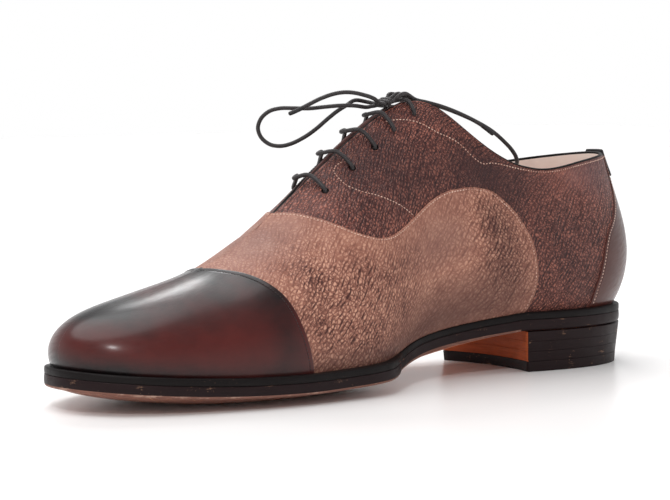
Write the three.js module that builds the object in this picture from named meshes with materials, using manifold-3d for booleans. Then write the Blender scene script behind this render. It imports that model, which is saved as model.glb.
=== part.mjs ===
// A cap toe oxford, the right shoe of a pair, laced and standing empty on its sole.
// Millimetres. +X points to the toe, +Y to the inside of the foot, +Z up, and the floor is z = 0.
// The origin is on the floor under the middle of the heel.
import * as THREE from "three";
import Module from "manifold-3d";
import { mergeVertices } from "three/addons/utils/BufferGeometryUtils.js";

const wasm = await Module();
wasm.setup();

// Driving sizes of the last
const LENGTH = 300; // feather line, back of the heel to the tip of the toe
const BALL = 98; // width of the feather line over the joints
const INSTEP = 100; // top of the facings over the feather line
const HEEL_SEAT = 27; // feather line over the floor at the heel
const TOE_SPRING = 5.5; // rise of the feather line at the tip of the toe
const HEEL_CENTRE = 33; // back of the heel to the origin

// Leather and bottom stock
const QUARTER = 1.6; // quarters with their lining
const OVERLAY = 0.6; // each leather laid over another
const SINK = 0.8; // how deep an overlay's form reaches into the wall below it
const INSOLE = 2.2;
const WELT = 3;
const OUTSOLE = 5;
const CROWN = 5.2; // how far the middle of the forepart hangs under its edges
const CROWN_LIFT = 4.3; // edge of the forepart over the floor
const HEEL_TOP_PIECE = 4.6;
const HEEL_LIFTS = 3;
const HEEL_TAPER = 0.5; // each layer of the heel is this much smaller than the one above
const BREAST = 71; // back of the heel to the corner of its breast
const BREAST_HOLLOW = 5; // how far the breast curves back in its middle
const TONGUE = 1.6;
const GAP = 0.3; // between pieces that touch in the real shoe
const SLIVER = 0.02; // detail left out of the cut edges

// Lacing
const LACE = 1.8; // diameter of the round lace
const EYELET = 2.8; // diameter of an eyelet
const KNOT = [9.5, 11, 3.2]; // length, width and height of the bow knot
const KNOT_ROW = 9.83; // section it lies over
const KNOT_OVER = 2.4; // its middle over the last's surface
const KNOT_TILT = 0.42; // radians

const BASE_OUT = -OVERLAY; // outer face of the quarters from the last's surface
const VAMP_OUT = 0;
const CAP_OUT = OVERLAY;
const LINING_IN = BASE_OUT - QUARTER;
const SOLE_EDGE = GAP + WELT + GAP + OUTSOLE;
const BALL_FEATHER = SOLE_EDGE + CROWN_LIFT;

// Sections round the shoe from the toe along the inside to the heel and back along the outside.
// foot: where the section leaves the sole, top: where it ends at the ridge, slit or collar.
// X is a share of LENGTH, Y of BALL, rise of INSTEP; the handles lean out by a share of BALL
// and up by a share of INSTEP.
const SECTION_COLUMNS = [
  "footX", "footY", "topX", "topY", "rise", "footOut", "footUp", "topOut", "topUp",
];
const SECTION_ROWS = [
  [1.003, 0, 0.925, 0, 0.255, 0.05, 0.135, 0.143, 0],
  [0.985, 0.165, 0.915, 0, 0.265, 0.05, 0.13, 0.163, 0],
  [0.935, 0.29, 0.875, 0, 0.3, 0.03, 0.13, 0.224, -0.005],
  [0.865, 0.365, 0.82, 0, 0.35, 0.03, 0.15, 0.255, -0.01],
  [0.785, 0.42, 0.757, 0.002, 0.41, 0.03, 0.19, 0.265, -0.025],
  [0.705, 0.45, 0.697, 0.003, 0.51, 0.03, 0.24, 0.265, -0.04],
  [0.63, 0.43, 0.645, 0.003, 0.63, 0.04, 0.28, 0.255, -0.065],
  [0.578, 0.43, 0.593, 0.018, 0.75, 0.05, 0.32, 0.245, -0.09],
  [0.53, 0.39, 0.54, 0.022, 0.855, 0.06, 0.32, 0.225, -0.1],
  [0.465, 0.245, 0.485, 0.026, 0.94, 0.112, 0.34, 0.195, -0.11],
  [0.385, 0.195, 0.432, 0.032, 1, 0.133, 0.36, 0.155, -0.12],
  [0.3, 0.215, 0.385, 0.105, 1.01, 0.112, 0.32, 0.1, -0.16],
  [0.23, 0.24, 0.325, 0.245, 0.765, 0.082, 0.26, 0.04, -0.16],
  [0.155, 0.28, 0.24, 0.3, 0.605, 0.07, 0.22, 0.01, -0.16],
  [0.075, 0.26, 0.135, 0.262, 0.66, 0.115, 0.24, 0.045, -0.2],
  [0.016, 0.155, 0.039, 0.16, 0.685, 0.15, 0.26, 0.055, -0.24],
  [-0.004, 0, 0.008, 0, 0.695, 0.16, 0.26, 0.06, -0.24],
  [0.016, -0.155, 0.039, -0.16, 0.68, 0.15, 0.26, 0.055, -0.24],
  [0.075, -0.265, 0.135, -0.262, 0.65, 0.115, 0.24, 0.045, -0.2],
  [0.15, -0.31, 0.245, -0.29, 0.605, 0.056, 0.2, 0.01, -0.16],
  [0.22, -0.325, 0.325, -0.25, 0.755, 0.061, 0.22, 0.04, -0.16],
  [0.29, -0.335, 0.385, -0.11, 0.975, 0.07, 0.28, 0.112, -0.16],
  [0.36, -0.36, 0.432, -0.032, 0.99, 0.07, 0.3, 0.185, -0.12],
  [0.43, -0.4, 0.485, -0.026, 0.94, 0.07, 0.3, 0.195, -0.12],
  [0.495, -0.45, 0.54, -0.022, 0.855, 0.066, 0.28, 0.225, -0.11],
  [0.558, -0.5, 0.593, -0.018, 0.75, 0.056, 0.26, 0.245, -0.1],
  [0.625, -0.535, 0.645, 0.003, 0.63, 0.046, 0.23, 0.265, -0.08],
  [0.7, -0.535, 0.697, 0.003, 0.51, 0.04, 0.2, 0.265, -0.06],
  [0.78, -0.49, 0.757, 0.002, 0.41, 0.035, 0.17, 0.265, -0.04],
  [0.862, -0.41, 0.82, 0, 0.35, 0.03, 0.14, 0.255, -0.02],
  [0.933, -0.305, 0.875, 0, 0.3, 0.03, 0.12, 0.224, -0.005],
  [0.984, -0.17, 0.915, 0, 0.265, 0.05, 0.13, 0.163, 0],
];
const SECTIONS = SECTION_ROWS.length;
const HEEL = SECTIONS / 2; // number of the section at the back of the heel
const THROAT = 5.7; // last section where the two sides are closed over the ridge
const FACING_TOP = 10.6; // section at the upper corner of the facings
const STEPS_PER_SECTION = 2;
const UPPER_RINGS = 12;
const HEM = 0.004; // how far an overlay stops short of the edges of the upper, a share of the height

// Shares of LENGTH against shares of what each column names
const FEATHER = [ // at, share of the heel's rise, share of the toe spring
  [-0.1, 1, 0], [0, 1, 0], [0.12, 1, 0], [0.235, 1, 0], [0.27, 0.94, 0], [0.32, 0.84, 0],
  [0.42, 0.58, 0], [0.5, 0.26, 0], [0.56, 0.09, 0], [0.62, 0.03, 0], [0.7, 0, 0],
  [0.78, 0, 0.06], [0.86, 0, 0.26], [0.94, 0, 0.58], [1.02, 0, 1], [1.1, 0, 1.5],
];
const CROWN_SHARE = [ // at, share of CROWN
  [-0.1, 0], [0.24, 0], [0.3, 0.5], [0.4, 0.9], [0.55, 1], [0.8, 1], [0.92, 0.65], [1.02, 0.3],
];
const EDGE = [ // at, sole edge outside the feather line on the inside and on the outside, mm
  [-0.1, 2.6, 2.6], [0.1, 2.6, 2.6], [0.22, 2, 2.4], [0.3, 0.8, 2.4], [0.42, 0.3, 3],
  [0.5, 0.8, 3.9], [0.53, 3, 4.3], [0.56, 4.4, 4.5], [0.65, 4.4, 4.6], [0.83, 4, 4.2],
  [0.9, 3.7, 3.7], [0.95, 3.2, 3.2], [1.1, 2.8, 2.8],
];

// Seams of one side as section number and share of the height from the sole to the top
const VAMP_SEAM = [
  [5.9, 1], [6.24, 0.865], [6.6, 0.74], [7.05, 0.61], [7.6, 0.52], [8.1, 0.485], [8.65, 0.48],
  [9.3, 0.487], [10.15, 0.512], [10.85, 0.54], [11.35, 0.58], [11.9, 0.62], [12.25, 0.55],
  [12.35, 0.42], [12.3, 0.29], [12.2, 0.17], [12, 0.04], [11.9, 0],
];
const CAP_SEAM = [
  [3.62, 1], [3.8, 0.985], [4.1, 0.865], [4.4, 0.74], [4.65, 0.61], [4.85, 0.48],
  [4.97, 0.36], [5.05, 0.25], [5.13, 0.14], [5.2, 0.04], [5.22, 0],
];
const STRIP_SEAM = [
  [15.3, 1], [15.15, 0.85], [14.85, 0.7], [14.5, 0.58], [14.2, 0.49], [14.05, 0.42],
  [13.92, 0.34], [13.74, 0.21], [13.62, 0.12], [13.54, 0],
];
const EYELET_ROWS = [ // section, share of the height, how far the bar bows over the slit in mm
  [7.1, 0.86, 1.8], [7.95, 0.86, 1.8], [8.75, 0.86, 1.8], [9.5, 0.86, 1], [10.33, 0.89, 0.25],
];
const BAR_COURSE = [ // share of the way up to the slit, share of the bow, how far ahead of its row
  [0, 0, 0], [0.5, 0.4, 0], [0.86, 0.8, 0.02], [1, 1, 0.08],
];
const BAR_SAG = 2.6; // the outside of a bar hangs this much further ahead

// A monotone curve through table rows, column by column
function alongTable(rows, at, column) {
  const last = rows.length - 1;
  const x = Math.min(Math.max(at, rows[0][0]), rows[last][0]);
  let i = 0;
  while (i < last - 1 && x > rows[i + 1][0]) i += 1;
  const secant = (k) => (rows[k + 1][column] - rows[k][column]) / (rows[k + 1][0] - rows[k][0]);
  const slope = (k) => {
    if (k === 0) return secant(0);
    if (k === last) return secant(last - 1);
    const before = secant(k - 1);
    const after = secant(k);
    return before * after <= 0 ? 0 : (2 * before * after) / (before + after);
  };
  const step = rows[i + 1][0] - rows[i][0];
  const t = (x - rows[i][0]) / step;
  const rise = rows[i + 1][column] - rows[i][column];
  return rows[i][column]
    + t * t * (3 - 2 * t) * rise
    + t * (1 - t) * step * ((1 - t) * slope(i) - t * slope(i + 1));
}

// Height of the feather line over the floor
function feather(x) {
  const at = x / LENGTH;
  return BALL_FEATHER
    + (HEEL_SEAT - BALL_FEATHER) * alongTable(FEATHER, at, 1)
    + TOE_SPRING * alongTable(FEATHER, at, 2);
}

// One section's values, on a smooth closed curve through the rows
function section(number) {
  const base = Math.floor(number);
  const t = number - base;
  const weights = [
    (1 - t) ** 3, 3 * t ** 3 - 6 * t ** 2 + 4, -3 * t ** 3 + 3 * t ** 2 + 3 * t + 1, t ** 3,
  ];
  const values = {};
  SECTION_COLUMNS.forEach((column, c) => {
    values[column] = weights.reduce((sum, weight, k) => {
      const row = SECTION_ROWS[(base + k - 1 + 2 * SECTIONS) % SECTIONS];
      return sum + (weight * row[c]) / 6;
    }, 0);
  });
  return values;
}

function footOf(number) {
  const { footX, footY } = section(number);
  return new THREE.Vector3(footX * LENGTH, footY * BALL, feather(footX * LENGTH));
}

function outwardOf(number) {
  const step = 0.02;
  const along = footOf(number + step).sub(footOf(number - step));
  return new THREE.Vector3(along.y, -along.x, 0).normalize();
}

function ownTop(number) {
  const { topX, topY, rise } = section(number);
  const x = topX * LENGTH;
  return new THREE.Vector3(x, topY * BALL, feather(x) + rise * INSTEP);
}

// Ahead of the throat both sides end at the same point of the ridge
function topOf(number) {
  const fromToe = Math.min(number, SECTIONS - number);
  if (fromToe > THROAT) return ownTop(number);
  return ownTop(number).add(ownTop(SECTIONS - number)).multiplyScalar(0.5);
}

// Step along the ridge or the slit, towards the toe
function ridgeStep(fromToe) {
  const start = Math.max(fromToe - 0.5, 0);
  return ownTop(start).sub(ownTop(start + 1));
}

// How far a handle that leans forward by some length follows the slope of the closed ridge
function ridgeDrop(fromToe, lean) {
  if (fromToe >= THROAT) return 0;
  const along = ridgeStep(fromToe);
  return (along.z / along.x) * lean * (1 - THREE.MathUtils.smoothstep(fromToe, THROAT - 2, THROAT));
}

// Point of the last's surface: section number, share of the height from the feather line to the top
function surface(rawNumber, share) {
  const number = (rawNumber + SECTIONS) % SECTIONS;
  const { footOut, footUp, topOut, topUp } = section(number);
  const out = outwardOf(number);
  const foot = footOf(number);
  const top = topOf(number);
  const low = foot.clone().addScaledVector(out, footOut * BALL);
  low.z += footUp * INSTEP;
  const high = top.clone().addScaledVector(out, topOut * BALL);
  high.z += topUp * INSTEP + ridgeDrop(Math.min(number, SECTIONS - number), out.x * topOut * BALL);
  return new THREE.CubicBezierCurve3(foot, low, high, top).getPoint(share);
}

function ownNormal(number, share) {
  const step = 0.002;
  const around = surface(number + step, share).sub(surface(number - step, share));
  const up = surface(number, Math.min(share + step, 1)).sub(surface(number, Math.max(share - step, 0)));
  return around.cross(up).normalize();
}

// The ridge and both edges of the slit lean only fore and aft, so that walls there don't cross
function ridgeNormal(fromToe) {
  const along = ridgeStep(fromToe);
  return new THREE.Vector3(-along.z, 0, along.x).normalize();
}

function normalOf(rawNumber, share) {
  const number = (rawNumber + SECTIONS) % SECTIONS;
  const fromToe = Math.min(number, SECTIONS - number);
  const onRidge = share === 1 && fromToe <= FACING_TOP;
  return onRidge ? ridgeNormal(fromToe) : ownNormal(number, share);
}

function offset(number, share, distance) {
  return surface(number, share).addScaledVector(normalOf(number, share), distance);
}

// Gathers the triangles of one closed body
class Body {
  constructor() {
    this.corners = [];
  }

  triangle(a, b, c) {
    this.corners.push(a, b, c);
  }

  quad(a, b, c, d) {
    this.triangle(a, b, c);
    this.triangle(a, c, d);
  }

  // Rows of points, each joined to the next
  sheet(rows) {
    for (let j = 0; j + 1 < rows.length; j += 1) {
      for (let k = 0; k + 1 < rows[j].length; k += 1) {
        this.quad(rows[j][k], rows[j][k + 1], rows[j + 1][k + 1], rows[j + 1][k]);
      }
    }
  }

  // The same rows facing the other way, with each quad cut along the same diagonal
  underSheet(rows) {
    this.sheet(rows[0].map((_, k) => rows.map((row) => row[k])));
  }

  geometry() {
    const numbers = this.corners.flatMap((corner) => [corner.x, corner.y, corner.z]);
    const loose = new THREE.BufferGeometry();
    loose.setAttribute("position", new THREE.Float32BufferAttribute(numbers, 3));
    const merged = mergeVertices(loose, 1e-4);
    const index = merged.getIndex().array;
    const kept = [];
    for (let k = 0; k < index.length; k += 3) {
      const [a, b, c] = index.slice(k, k + 3);
      if (a !== b && b !== c && a !== c) kept.push(a, b, c);
    }
    merged.setIndex(kept);
    return facingOut(merged);
  }
}

function volumeOf(geometry) {
  const points = geometry.getAttribute("position");
  const index = geometry.getIndex().array;
  const corner = (k) => new THREE.Vector3().fromBufferAttribute(points, index[k]);
  let sum = 0;
  for (let k = 0; k < index.length; k += 3) {
    sum += corner(k).dot(corner(k + 1).cross(corner(k + 2)));
  }
  return sum / 6;
}

function facingOut(geometry) {
  if (volumeOf(geometry) < 0) {
    const index = Array.from(geometry.getIndex().array);
    geometry.setIndex(index.reverse());
  }
  return geometry;
}

function toSolid(geometry) {
  const bare = geometry.clone();
  bare.deleteAttribute("normal");
  bare.deleteAttribute("uv");
  const merged = mergeVertices(bare, 1e-4);
  return new wasm.Manifold(new wasm.Mesh({
    numProp: 3,
    vertProperties: new Float32Array(merged.getAttribute("position").array),
    triVerts: new Uint32Array(merged.getIndex().array),
  }));
}

function toGeometry(solid) {
  const mesh = solid.getMesh();
  const geometry = new THREE.BufferGeometry();
  geometry.setAttribute("position", new THREE.Float32BufferAttribute(mesh.vertProperties, 3));
  geometry.setIndex(Array.from(mesh.triVerts));
  return geometry;
}

const closedOver = (number) => Math.min(number, SECTIONS - number) <= THROAT;

// The whole upper between two distances from the last's surface, open at the sole, slit and collar.
// hem: how far it stops short of those edges, as a share of the height
function upperShell(outer, inner, hem) {
  const samples = SECTIONS * STEPS_PER_SECTION;
  const numbers = Array.from({ length: samples + 1 }, (_, k) => k / STEPS_PER_SECTION);
  const topShare = (number) => (closedOver(number) ? 1 : 1 - hem);
  const ring = (level, distance) => numbers.map((number) => {
    const share = THREE.MathUtils.lerp(hem, topShare(number), level);
    return offset(number, share, distance);
  });
  const levels = Array.from({ length: UPPER_RINGS }, (_, j) => j / (UPPER_RINGS - 1));
  const outside = levels.map((level) => ring(level, outer));
  const inside = levels.map((level) => ring(level, inner));
  const body = new Body();
  body.sheet(outside);
  body.underSheet(inside);
  body.sheet([inside[0], outside[0]]);
  const top = UPPER_RINGS - 1;
  for (let k = 0; k < samples; k += 1) {
    const closed = closedOver(numbers[k]) && closedOver(numbers[k + 1]);
    if (!closed) body.quad(outside[top][k], outside[top][k + 1], inside[top][k + 1], inside[top][k]);
  }
  return body.geometry();
}

// A block over one side of the shoe, cut along a seam: end is where the block reaches to in X
function sideForm(seam, inside, end) {
  const sign = inside ? 1 : -1;
  const line = new THREE.CatmullRomCurve3(seam.map(([number, share]) => {
    const point = surface(inside ? number : SECTIONS - number, share);
    return new THREE.Vector3(point.x, point.z, 0);
  }));
  const above = 2 * INSTEP;
  const below = -10;
  const across = BALL;
  const overlap = 1;
  const points = line.getPoints(24).map(({ x, y }) => new THREE.Vector2(x, y));
  const first = points[0];
  const last = points[points.length - 1];
  points.push(new THREE.Vector2(last.x, below), new THREE.Vector2(end, below));
  points.push(new THREE.Vector2(end, above), new THREE.Vector2(first.x, above));
  const block = new THREE.ExtrudeGeometry(new THREE.Shape(points), {
    depth: across + overlap, bevelEnabled: false, steps: 1,
  });
  block.rotateX(Math.PI / 2);
  block.translate(0, inside ? across : overlap, 0);
  return toSolid(block);
}

const FORM_OVER = 40; // how far a form reaches past the toe or the heel
function panel(seam, outer, end) {
  const shell = toSolid(upperShell(outer, BASE_OUT - SINK, HEM));
  const form = sideForm(seam, true, end).add(sideForm(seam, false, end));
  return shell.intersect(form);
}

function eyeletPunch(number, share) {
  const punch = new THREE.CylinderGeometry(EYELET / 2, EYELET / 2, 4 * QUARTER, 8);
  const normal = normalOf(number, share);
  punch.applyQuaternion(new THREE.Quaternion().setFromUnitVectors(new THREE.Vector3(0, 1, 0), normal));
  const place = offset(number, share, (BASE_OUT + LINING_IN) / 2);
  punch.translate(place.x, place.y, place.z);
  return toSolid(punch);
}

// The upper rests on the welt with its lower edge at the feather line
function upperGeometry() {
  let solid = toSolid(upperShell(BASE_OUT, LINING_IN, 0));
  const front = LENGTH + FORM_OVER;
  const back = -FORM_OVER;
  solid = solid.add(panel(VAMP_SEAM, VAMP_OUT, front));
  solid = solid.add(panel(CAP_SEAM, CAP_OUT, front));
  solid = solid.add(panel(STRIP_SEAM, VAMP_OUT, back));
  EYELET_ROWS.forEach(([row, share]) => {
    solid = solid.subtract(eyeletPunch(row, share)).subtract(eyeletPunch(SECTIONS - row, share));
  });
  return toGeometry(solid.simplify(SLIVER));
}

// Section number of the feather line at x, on the inside or the outside
function numberAt(x, inside) {
  let low = 0;
  let high = HEEL;
  for (let k = 0; k < 40; k += 1) {
    const middle = (low + high) / 2;
    const at = footOf(inside ? middle : SECTIONS - middle).x;
    if (at > x) low = middle;
    else high = middle;
  }
  const found = (low + high) / 2;
  return inside ? found : SECTIONS - found;
}

// The middle line of the sole, which stops short of the toe and the heel
const SPINE_END = 0.08;
function spineAt(x) {
  const at = Math.min(Math.max(x, SPINE_END * LENGTH), (1 - SPINE_END) * LENGTH);
  const y = (footOf(numberAt(at, true)).y + footOf(numberAt(at, false)).y) / 2;
  return new THREE.Vector3(at, y, 0);
}

function edgeWidth(number) {
  const x = footOf(number).x;
  return alongTable(EDGE, x / LENGTH, number <= HEEL ? 1 : 2);
}

// Stations round the bottom, with the inside and the outside of each pair at the same x
const BOTTOM_STATIONS = 34;
const bottomNumbers = [];
for (let k = 0; k <= BOTTOM_STATIONS; k += 1) {
  bottomNumbers.push((HEEL * k) / BOTTOM_STATIONS);
}
for (let k = BOTTOM_STATIONS - 1; k > 0; k -= 1) {
  bottomNumbers.push(numberAt(footOf(bottomNumbers[k]).x, false));
}
bottomNumbers.push(SECTIONS);

const bottomFoot = bottomNumbers.map(footOf);
const bottomOut = bottomNumbers.map(outwardOf);
const bottomSpine = bottomFoot.map((foot) => spineAt(foot.x));

// Point of the bottom under station k, a distance inside the feather line (outside when negative)
// and a depth under it, with the hanging middle of the forepart
function bottomPoint(k, inset, depth) {
  const foot = bottomFoot[k];
  const spine = bottomSpine[k];
  const reach = Math.hypot(spine.x - foot.x, spine.y - foot.y);
  const share = Math.min(Math.max(inset / reach, 0), 1);
  const place = new THREE.Vector3(
    THREE.MathUtils.lerp(foot.x, spine.x, share), THREE.MathUtils.lerp(foot.y, spine.y, share), 0,
  );
  if (inset < 0) place.addScaledVector(bottomOut[k], -inset);
  const hang = CROWN * alongTable(CROWN_SHARE, place.x / LENGTH, 1) * (1 - (1 - share) ** 3);
  place.z = Math.max(feather(place.x) - depth - hang, 0);
  return place;
}

function bottomRing(insetOf, depth) {
  return bottomNumbers.map((number, k) => bottomPoint(k, insetOf(number, k), depth));
}

function reachOf(k) {
  return Math.hypot(bottomSpine[k].x - bottomFoot[k].x, bottomSpine[k].y - bottomFoot[k].y);
}

// Rings of the bottom, by how far each lies inside the feather line
const toSoleEdge = (number) => -edgeWidth(number);
const toFeather = () => 0;
const towardsSpine = [0.2, 0.5, 1].map((share) => (number, k) => share * reachOf(k));

// A layer of the bottom between two depths, from its outer ring to its inner one
function layerBody(rings, top, bottom) {
  const upper = rings.map((inset) => bottomRing(inset, top));
  const lower = rings.map((inset) => bottomRing(inset, bottom));
  const body = new Body();
  body.sheet(upper);
  body.underSheet(lower);
  body.sheet([lower[0], upper[0]]);
  return { body, upper, lower };
}

function insoleGeometry() {
  const clearance = OVERLAY + QUARTER + 2 * GAP;
  return layerBody([() => clearance, ...towardsSpine], -INSOLE - GAP, -GAP).body.geometry();
}

function outsoleGeometry() {
  const top = GAP + WELT + GAP;
  return layerBody([toSoleEdge, toFeather, ...towardsSpine], top, top + OUTSOLE).body.geometry();
}

// A strip under the edge of the upper, open in the middle
function weltGeometry() {
  const { body, upper, lower } = layerBody([toSoleEdge, toFeather, towardsSpine[0]], GAP, GAP + WELT);
  body.sheet([upper[2], lower[2]]);
  return body.geometry();
}

// Outline of the heel, in plan, made smaller by an inset
function heelShape(inset) {
  const corner = BREAST - inset;
  const round = bottomNumbers.map((number, k) => {
    const out = bottomOut[k].clone().multiplyScalar(edgeWidth(number) - inset);
    return bottomFoot[k].clone().add(out);
  });
  const kept = round.filter((point) => point.x < corner);
  const first = kept[0];
  const last = kept[kept.length - 1];
  const middle = new THREE.Vector2(corner - 2 * BREAST_HOLLOW, (first.y + last.y) / 2);
  const breast = new THREE.QuadraticBezierCurve(
    new THREE.Vector2(corner, last.y), middle, new THREE.Vector2(corner, first.y),
  );
  const back = kept.map(({ x, y }) => new THREE.Vector2(x, y));
  return new THREE.Shape([...back, ...breast.getPoints(10)]);
}

function heelLayerGeometry(bottom, top, inset) {
  const layer = new THREE.ExtrudeGeometry(heelShape(inset), {
    depth: top - bottom, bevelEnabled: false, steps: 1,
  });
  layer.translate(0, 0, bottom);
  return toGeometry(toSolid(layer));
}

// The tongue lies under the facings and shows a little over their tops
const TONGUE_START = 5.4;
const TONGUE_END = 10.2;
const TONGUE_ROWS = 12;
const TONGUE_SIDES = [0.8, 0.86, 0.92, 0.97];
const TONGUE_OVER = 4.5; // length past its last section
const BULGE = 2.2; // how far its middle rises between the facings
function tongueGeometry() {
  const under = LINING_IN - 2 * GAP;
  const row = (number, depth) => {
    const inner = TONGUE_SIDES.map((share) => offset(number, share, depth));
    const outer = TONGUE_SIDES.map((share) => offset(SECTIONS - number, share, depth));
    const halfSlit = topOf(number).distanceTo(topOf(SECTIONS - number)) / 2;
    const rise = depth + Math.min(BULGE, 0.8 * halfSlit);
    const middle = offset(number, 1, rise).add(offset(SECTIONS - number, 1, rise)).multiplyScalar(0.5);
    return [...inner, middle, ...outer.reverse()];
  };
  const face = (depth) => {
    const rows = [];
    for (let j = 0; j <= TONGUE_ROWS; j += 1) {
      rows.push(row(THREE.MathUtils.lerp(TONGUE_START, TONGUE_END, j / TONGUE_ROWS), depth));
    }
    const last = rows[TONGUE_ROWS];
    const before = rows[TONGUE_ROWS - 2];
    rows.push(last.map((point, k) => {
      const onward = point.clone().sub(before[k]).setLength(TONGUE_OVER);
      return point.clone().add(onward);
    }));
    return rows;
  };
  const upper = face(under);
  const lower = face(under - TONGUE);
  const rim = (rows) => [
    ...rows[0], ...rows.map((points) => points[points.length - 1]).slice(1, -1),
    ...rows[rows.length - 1].slice().reverse(), ...rows.map((points) => points[0]).slice(1).reverse(),
    rows[0][0],
  ];
  const body = new Body();
  body.sheet(upper);
  body.underSheet(lower);
  body.sheet([rim(lower), rim(upper)]);
  return body.geometry();
}

// A short pull that hangs from the collar down the back seam
const PULL_HALF_WIDTH = 0.3; // in sections
const PULL_LENGTH = 0.17; // share of the height of the back
const PULL_THICKNESS = 1.2;
const PULL_STAND_OFF = 1.3; // how far its lower end stands off the leather
function heelTabGeometry() {
  const shares = [0, 0.25, 0.5, 0.75, 1].map((t) => 1 - t * PULL_LENGTH);
  const face = (extra) => shares.map((share, j) => {
    const distance = VAMP_OUT + GAP + (PULL_STAND_OFF * j) / 4 + extra;
    return [-1, -0.5, 0, 0.5, 1].map((side) => offset(HEEL + side * PULL_HALF_WIDTH, share, distance));
  });
  const upper = face(PULL_THICKNESS);
  const lower = face(0);
  const rim = (rows) => [
    ...rows[0], ...rows.map((points) => points[4]).slice(1, -1),
    ...rows[4].slice().reverse(), ...rows.map((points) => points[0]).slice(1).reverse(), rows[0][0],
  ];
  const body = new Body();
  body.sheet(upper);
  body.underSheet(lower);
  body.sheet([rim(lower), rim(upper)]);
  return body.geometry();
}

function laceGeometry(points) {
  const sides = 8;
  const route = new THREE.CatmullRomCurve3(points);
  const steps = Math.round(route.getLength() / (2.8 * LACE));
  const round = Array.from({ length: sides }, (_, k) => {
    const turn = (2 * Math.PI * k) / sides;
    return new THREE.Vector2((LACE / 2) * Math.cos(turn), (LACE / 2) * Math.sin(turn));
  });
  const lace = new THREE.ExtrudeGeometry(new THREE.Shape(round), {
    steps, bevelEnabled: false, extrudePath: route,
  });
  return toGeometry(toSolid(lace));
}

// A bar from eyelet to eyelet, lying on both facings and bowing over the slit
function laceBarGeometry([row, share, bow]) {
  const rest = BASE_OUT + GAP + LACE / 2;
  const side = (inside) => BAR_COURSE.map(([way, rise, ahead]) => {
    const at = row - ahead * (inside ? 1 : BAR_SAG);
    const height = THREE.MathUtils.lerp(share, 1, way);
    return offset(inside ? at : SECTIONS - at, height, rest + rise * bow);
  });
  return laceGeometry([...side(true), ...side(false).reverse()]);
}

function knotPlace() {
  const near = offset(KNOT_ROW, 1, KNOT_OVER);
  return near.add(offset(SECTIONS - KNOT_ROW, 1, KNOT_OVER)).multiplyScalar(0.5);
}

function knotGeometry() {
  const knot = new THREE.SphereGeometry(0.5, 12, 8);
  knot.scale(...KNOT);
  knot.rotateY(KNOT_TILT);
  const place = knotPlace();
  knot.translate(place.x, place.y, place.z);
  return toGeometry(toSolid(knot));
}

// Routes of the bow from the knot outwards, from the origin under the heel
const BOW = {
  lace_loop_front: [
    [104.4, -3, 118.5], [106.5, -4.1, 118.1], [112.4, -5, 118.8], [117.5, -8, 118.9],
    [122.5, -13, 118.3], [127.2, -18, 117.6], [132, -22.8, 117.7], [136, -27.2, 117.6],
    [139.2, -30.6, 116.3], [141.6, -33.2, 113.2], [142.5, -34.3, 109.1], [141.5, -33.4, 105.1],
    [138.8, -31, 102.1], [135.6, -28, 101.3], [132, -25, 102.2], [127.2, -20.9, 105.3],
    [123.6, -17, 109.1], [120.4, -13.5, 113.2], [117, -10.9, 116.6], [113.6, -9.2, 118.9],
    [109.6, -8.6, 121], [103.7, -7.5, 120.3], [102.4, -5.3, 119.8],
  ],
  lace_end_front: [
    [104, 0.6, 120.3], [105.4, 0.4, 121.5], [107.3, -0.4, 122.5], [110, -2.2, 123.5],
    [113.4, -4.4, 124.4], [117.2, -6.5, 124.6], [121.3, -8.5, 123.9], [126.3, -11, 122],
    [131.4, -13.7, 119.2], [135.4, -15.6, 117], [139, -17.4, 115.3],
  ],
  lace_loop_rear: [
    [96.4, 1.8, 122.8], [95, 1.7, 123.6], [92.6, 1.4, 123.8], [89.5, 1.5, 122.5],
    [84.5, 1.9, 121.1], [80, 2.6, 120.2], [74, 3.8, 118.6], [68, 5.1, 116.8], [60, 7.4, 113.7],
    [53, 9.6, 110.4], [46.5, 11.3, 106.6], [41.2, 12.5, 102.4], [37.2, 13.4, 98.5],
    [35, 13.9, 95.2], [34.6, 14, 92.6], [36, 13.4, 91.4], [38.5, 12, 92], [42.3, 10, 93.8],
    [46.6, 7.6, 96.4], [53, 4.6, 101.2], [61, 1.2, 107.3], [70, -1.4, 113.2], [79, -2.4, 118],
    [85.5, -2.6, 120.9], [92.6, -2.4, 123.6], [94.9, -2.8, 123.5], [96.3, -2.2, 122.2],
  ],
  lace_end_rear: [
    [97.9, 4.7, 121.5], [96.7, 6, 123.1], [92.1, 4.9, 123.9], [86.5, 5.2, 121.2], [81, 6.2, 120],
    [74, 8.6, 118], [66.5, 11.4, 115], [58, 14.4, 110.7], [51.3, 17, 105.6],
  ],
};

function bowGeometry(route) {
  const points = route.map(([x, y, z]) => new THREE.Vector3(x + HEEL_CENTRE, y, z));
  return laceGeometry(points);
}

function finish(color, roughness) {
  return new THREE.MeshStandardMaterial({ color, roughness, metalness: 0 });
}
const grainedLeather = finish("#6e4338", 0.5);
const tongueLeather = finish("#3f2a28", 0.6);
const insoleLeather = finish("#c9ae98", 0.7);
const edgeLeather = finish("#231c1c", 0.4);
const soleLeather = finish("#a8542e", 0.5);
const waxedLace = finish("#241d20", 0.5);

const shoe = new THREE.Group();
shoe.position.x = -HEEL_CENTRE;

function addPiece(name, geometry, material) {
  const mesh = new THREE.Mesh(geometry, material);
  mesh.name = name;
  shoe.add(mesh);
}

function addHeel() {
  const seat = HEEL_SEAT - SOLE_EDGE - GAP;
  const lift = (seat - HEEL_TOP_PIECE) / HEEL_LIFTS;
  for (let k = 0; k < HEEL_LIFTS; k += 1) {
    const top = seat - k * lift;
    const layer = heelLayerGeometry(top - lift + GAP, top, k * HEEL_TAPER);
    addPiece(`heel_lift_${k + 1}`, layer, edgeLeather);
  }
  const topPiece = heelLayerGeometry(0, HEEL_TOP_PIECE, HEEL_LIFTS * HEEL_TAPER);
  addPiece("heel_top_piece", topPiece, edgeLeather);
}

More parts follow.
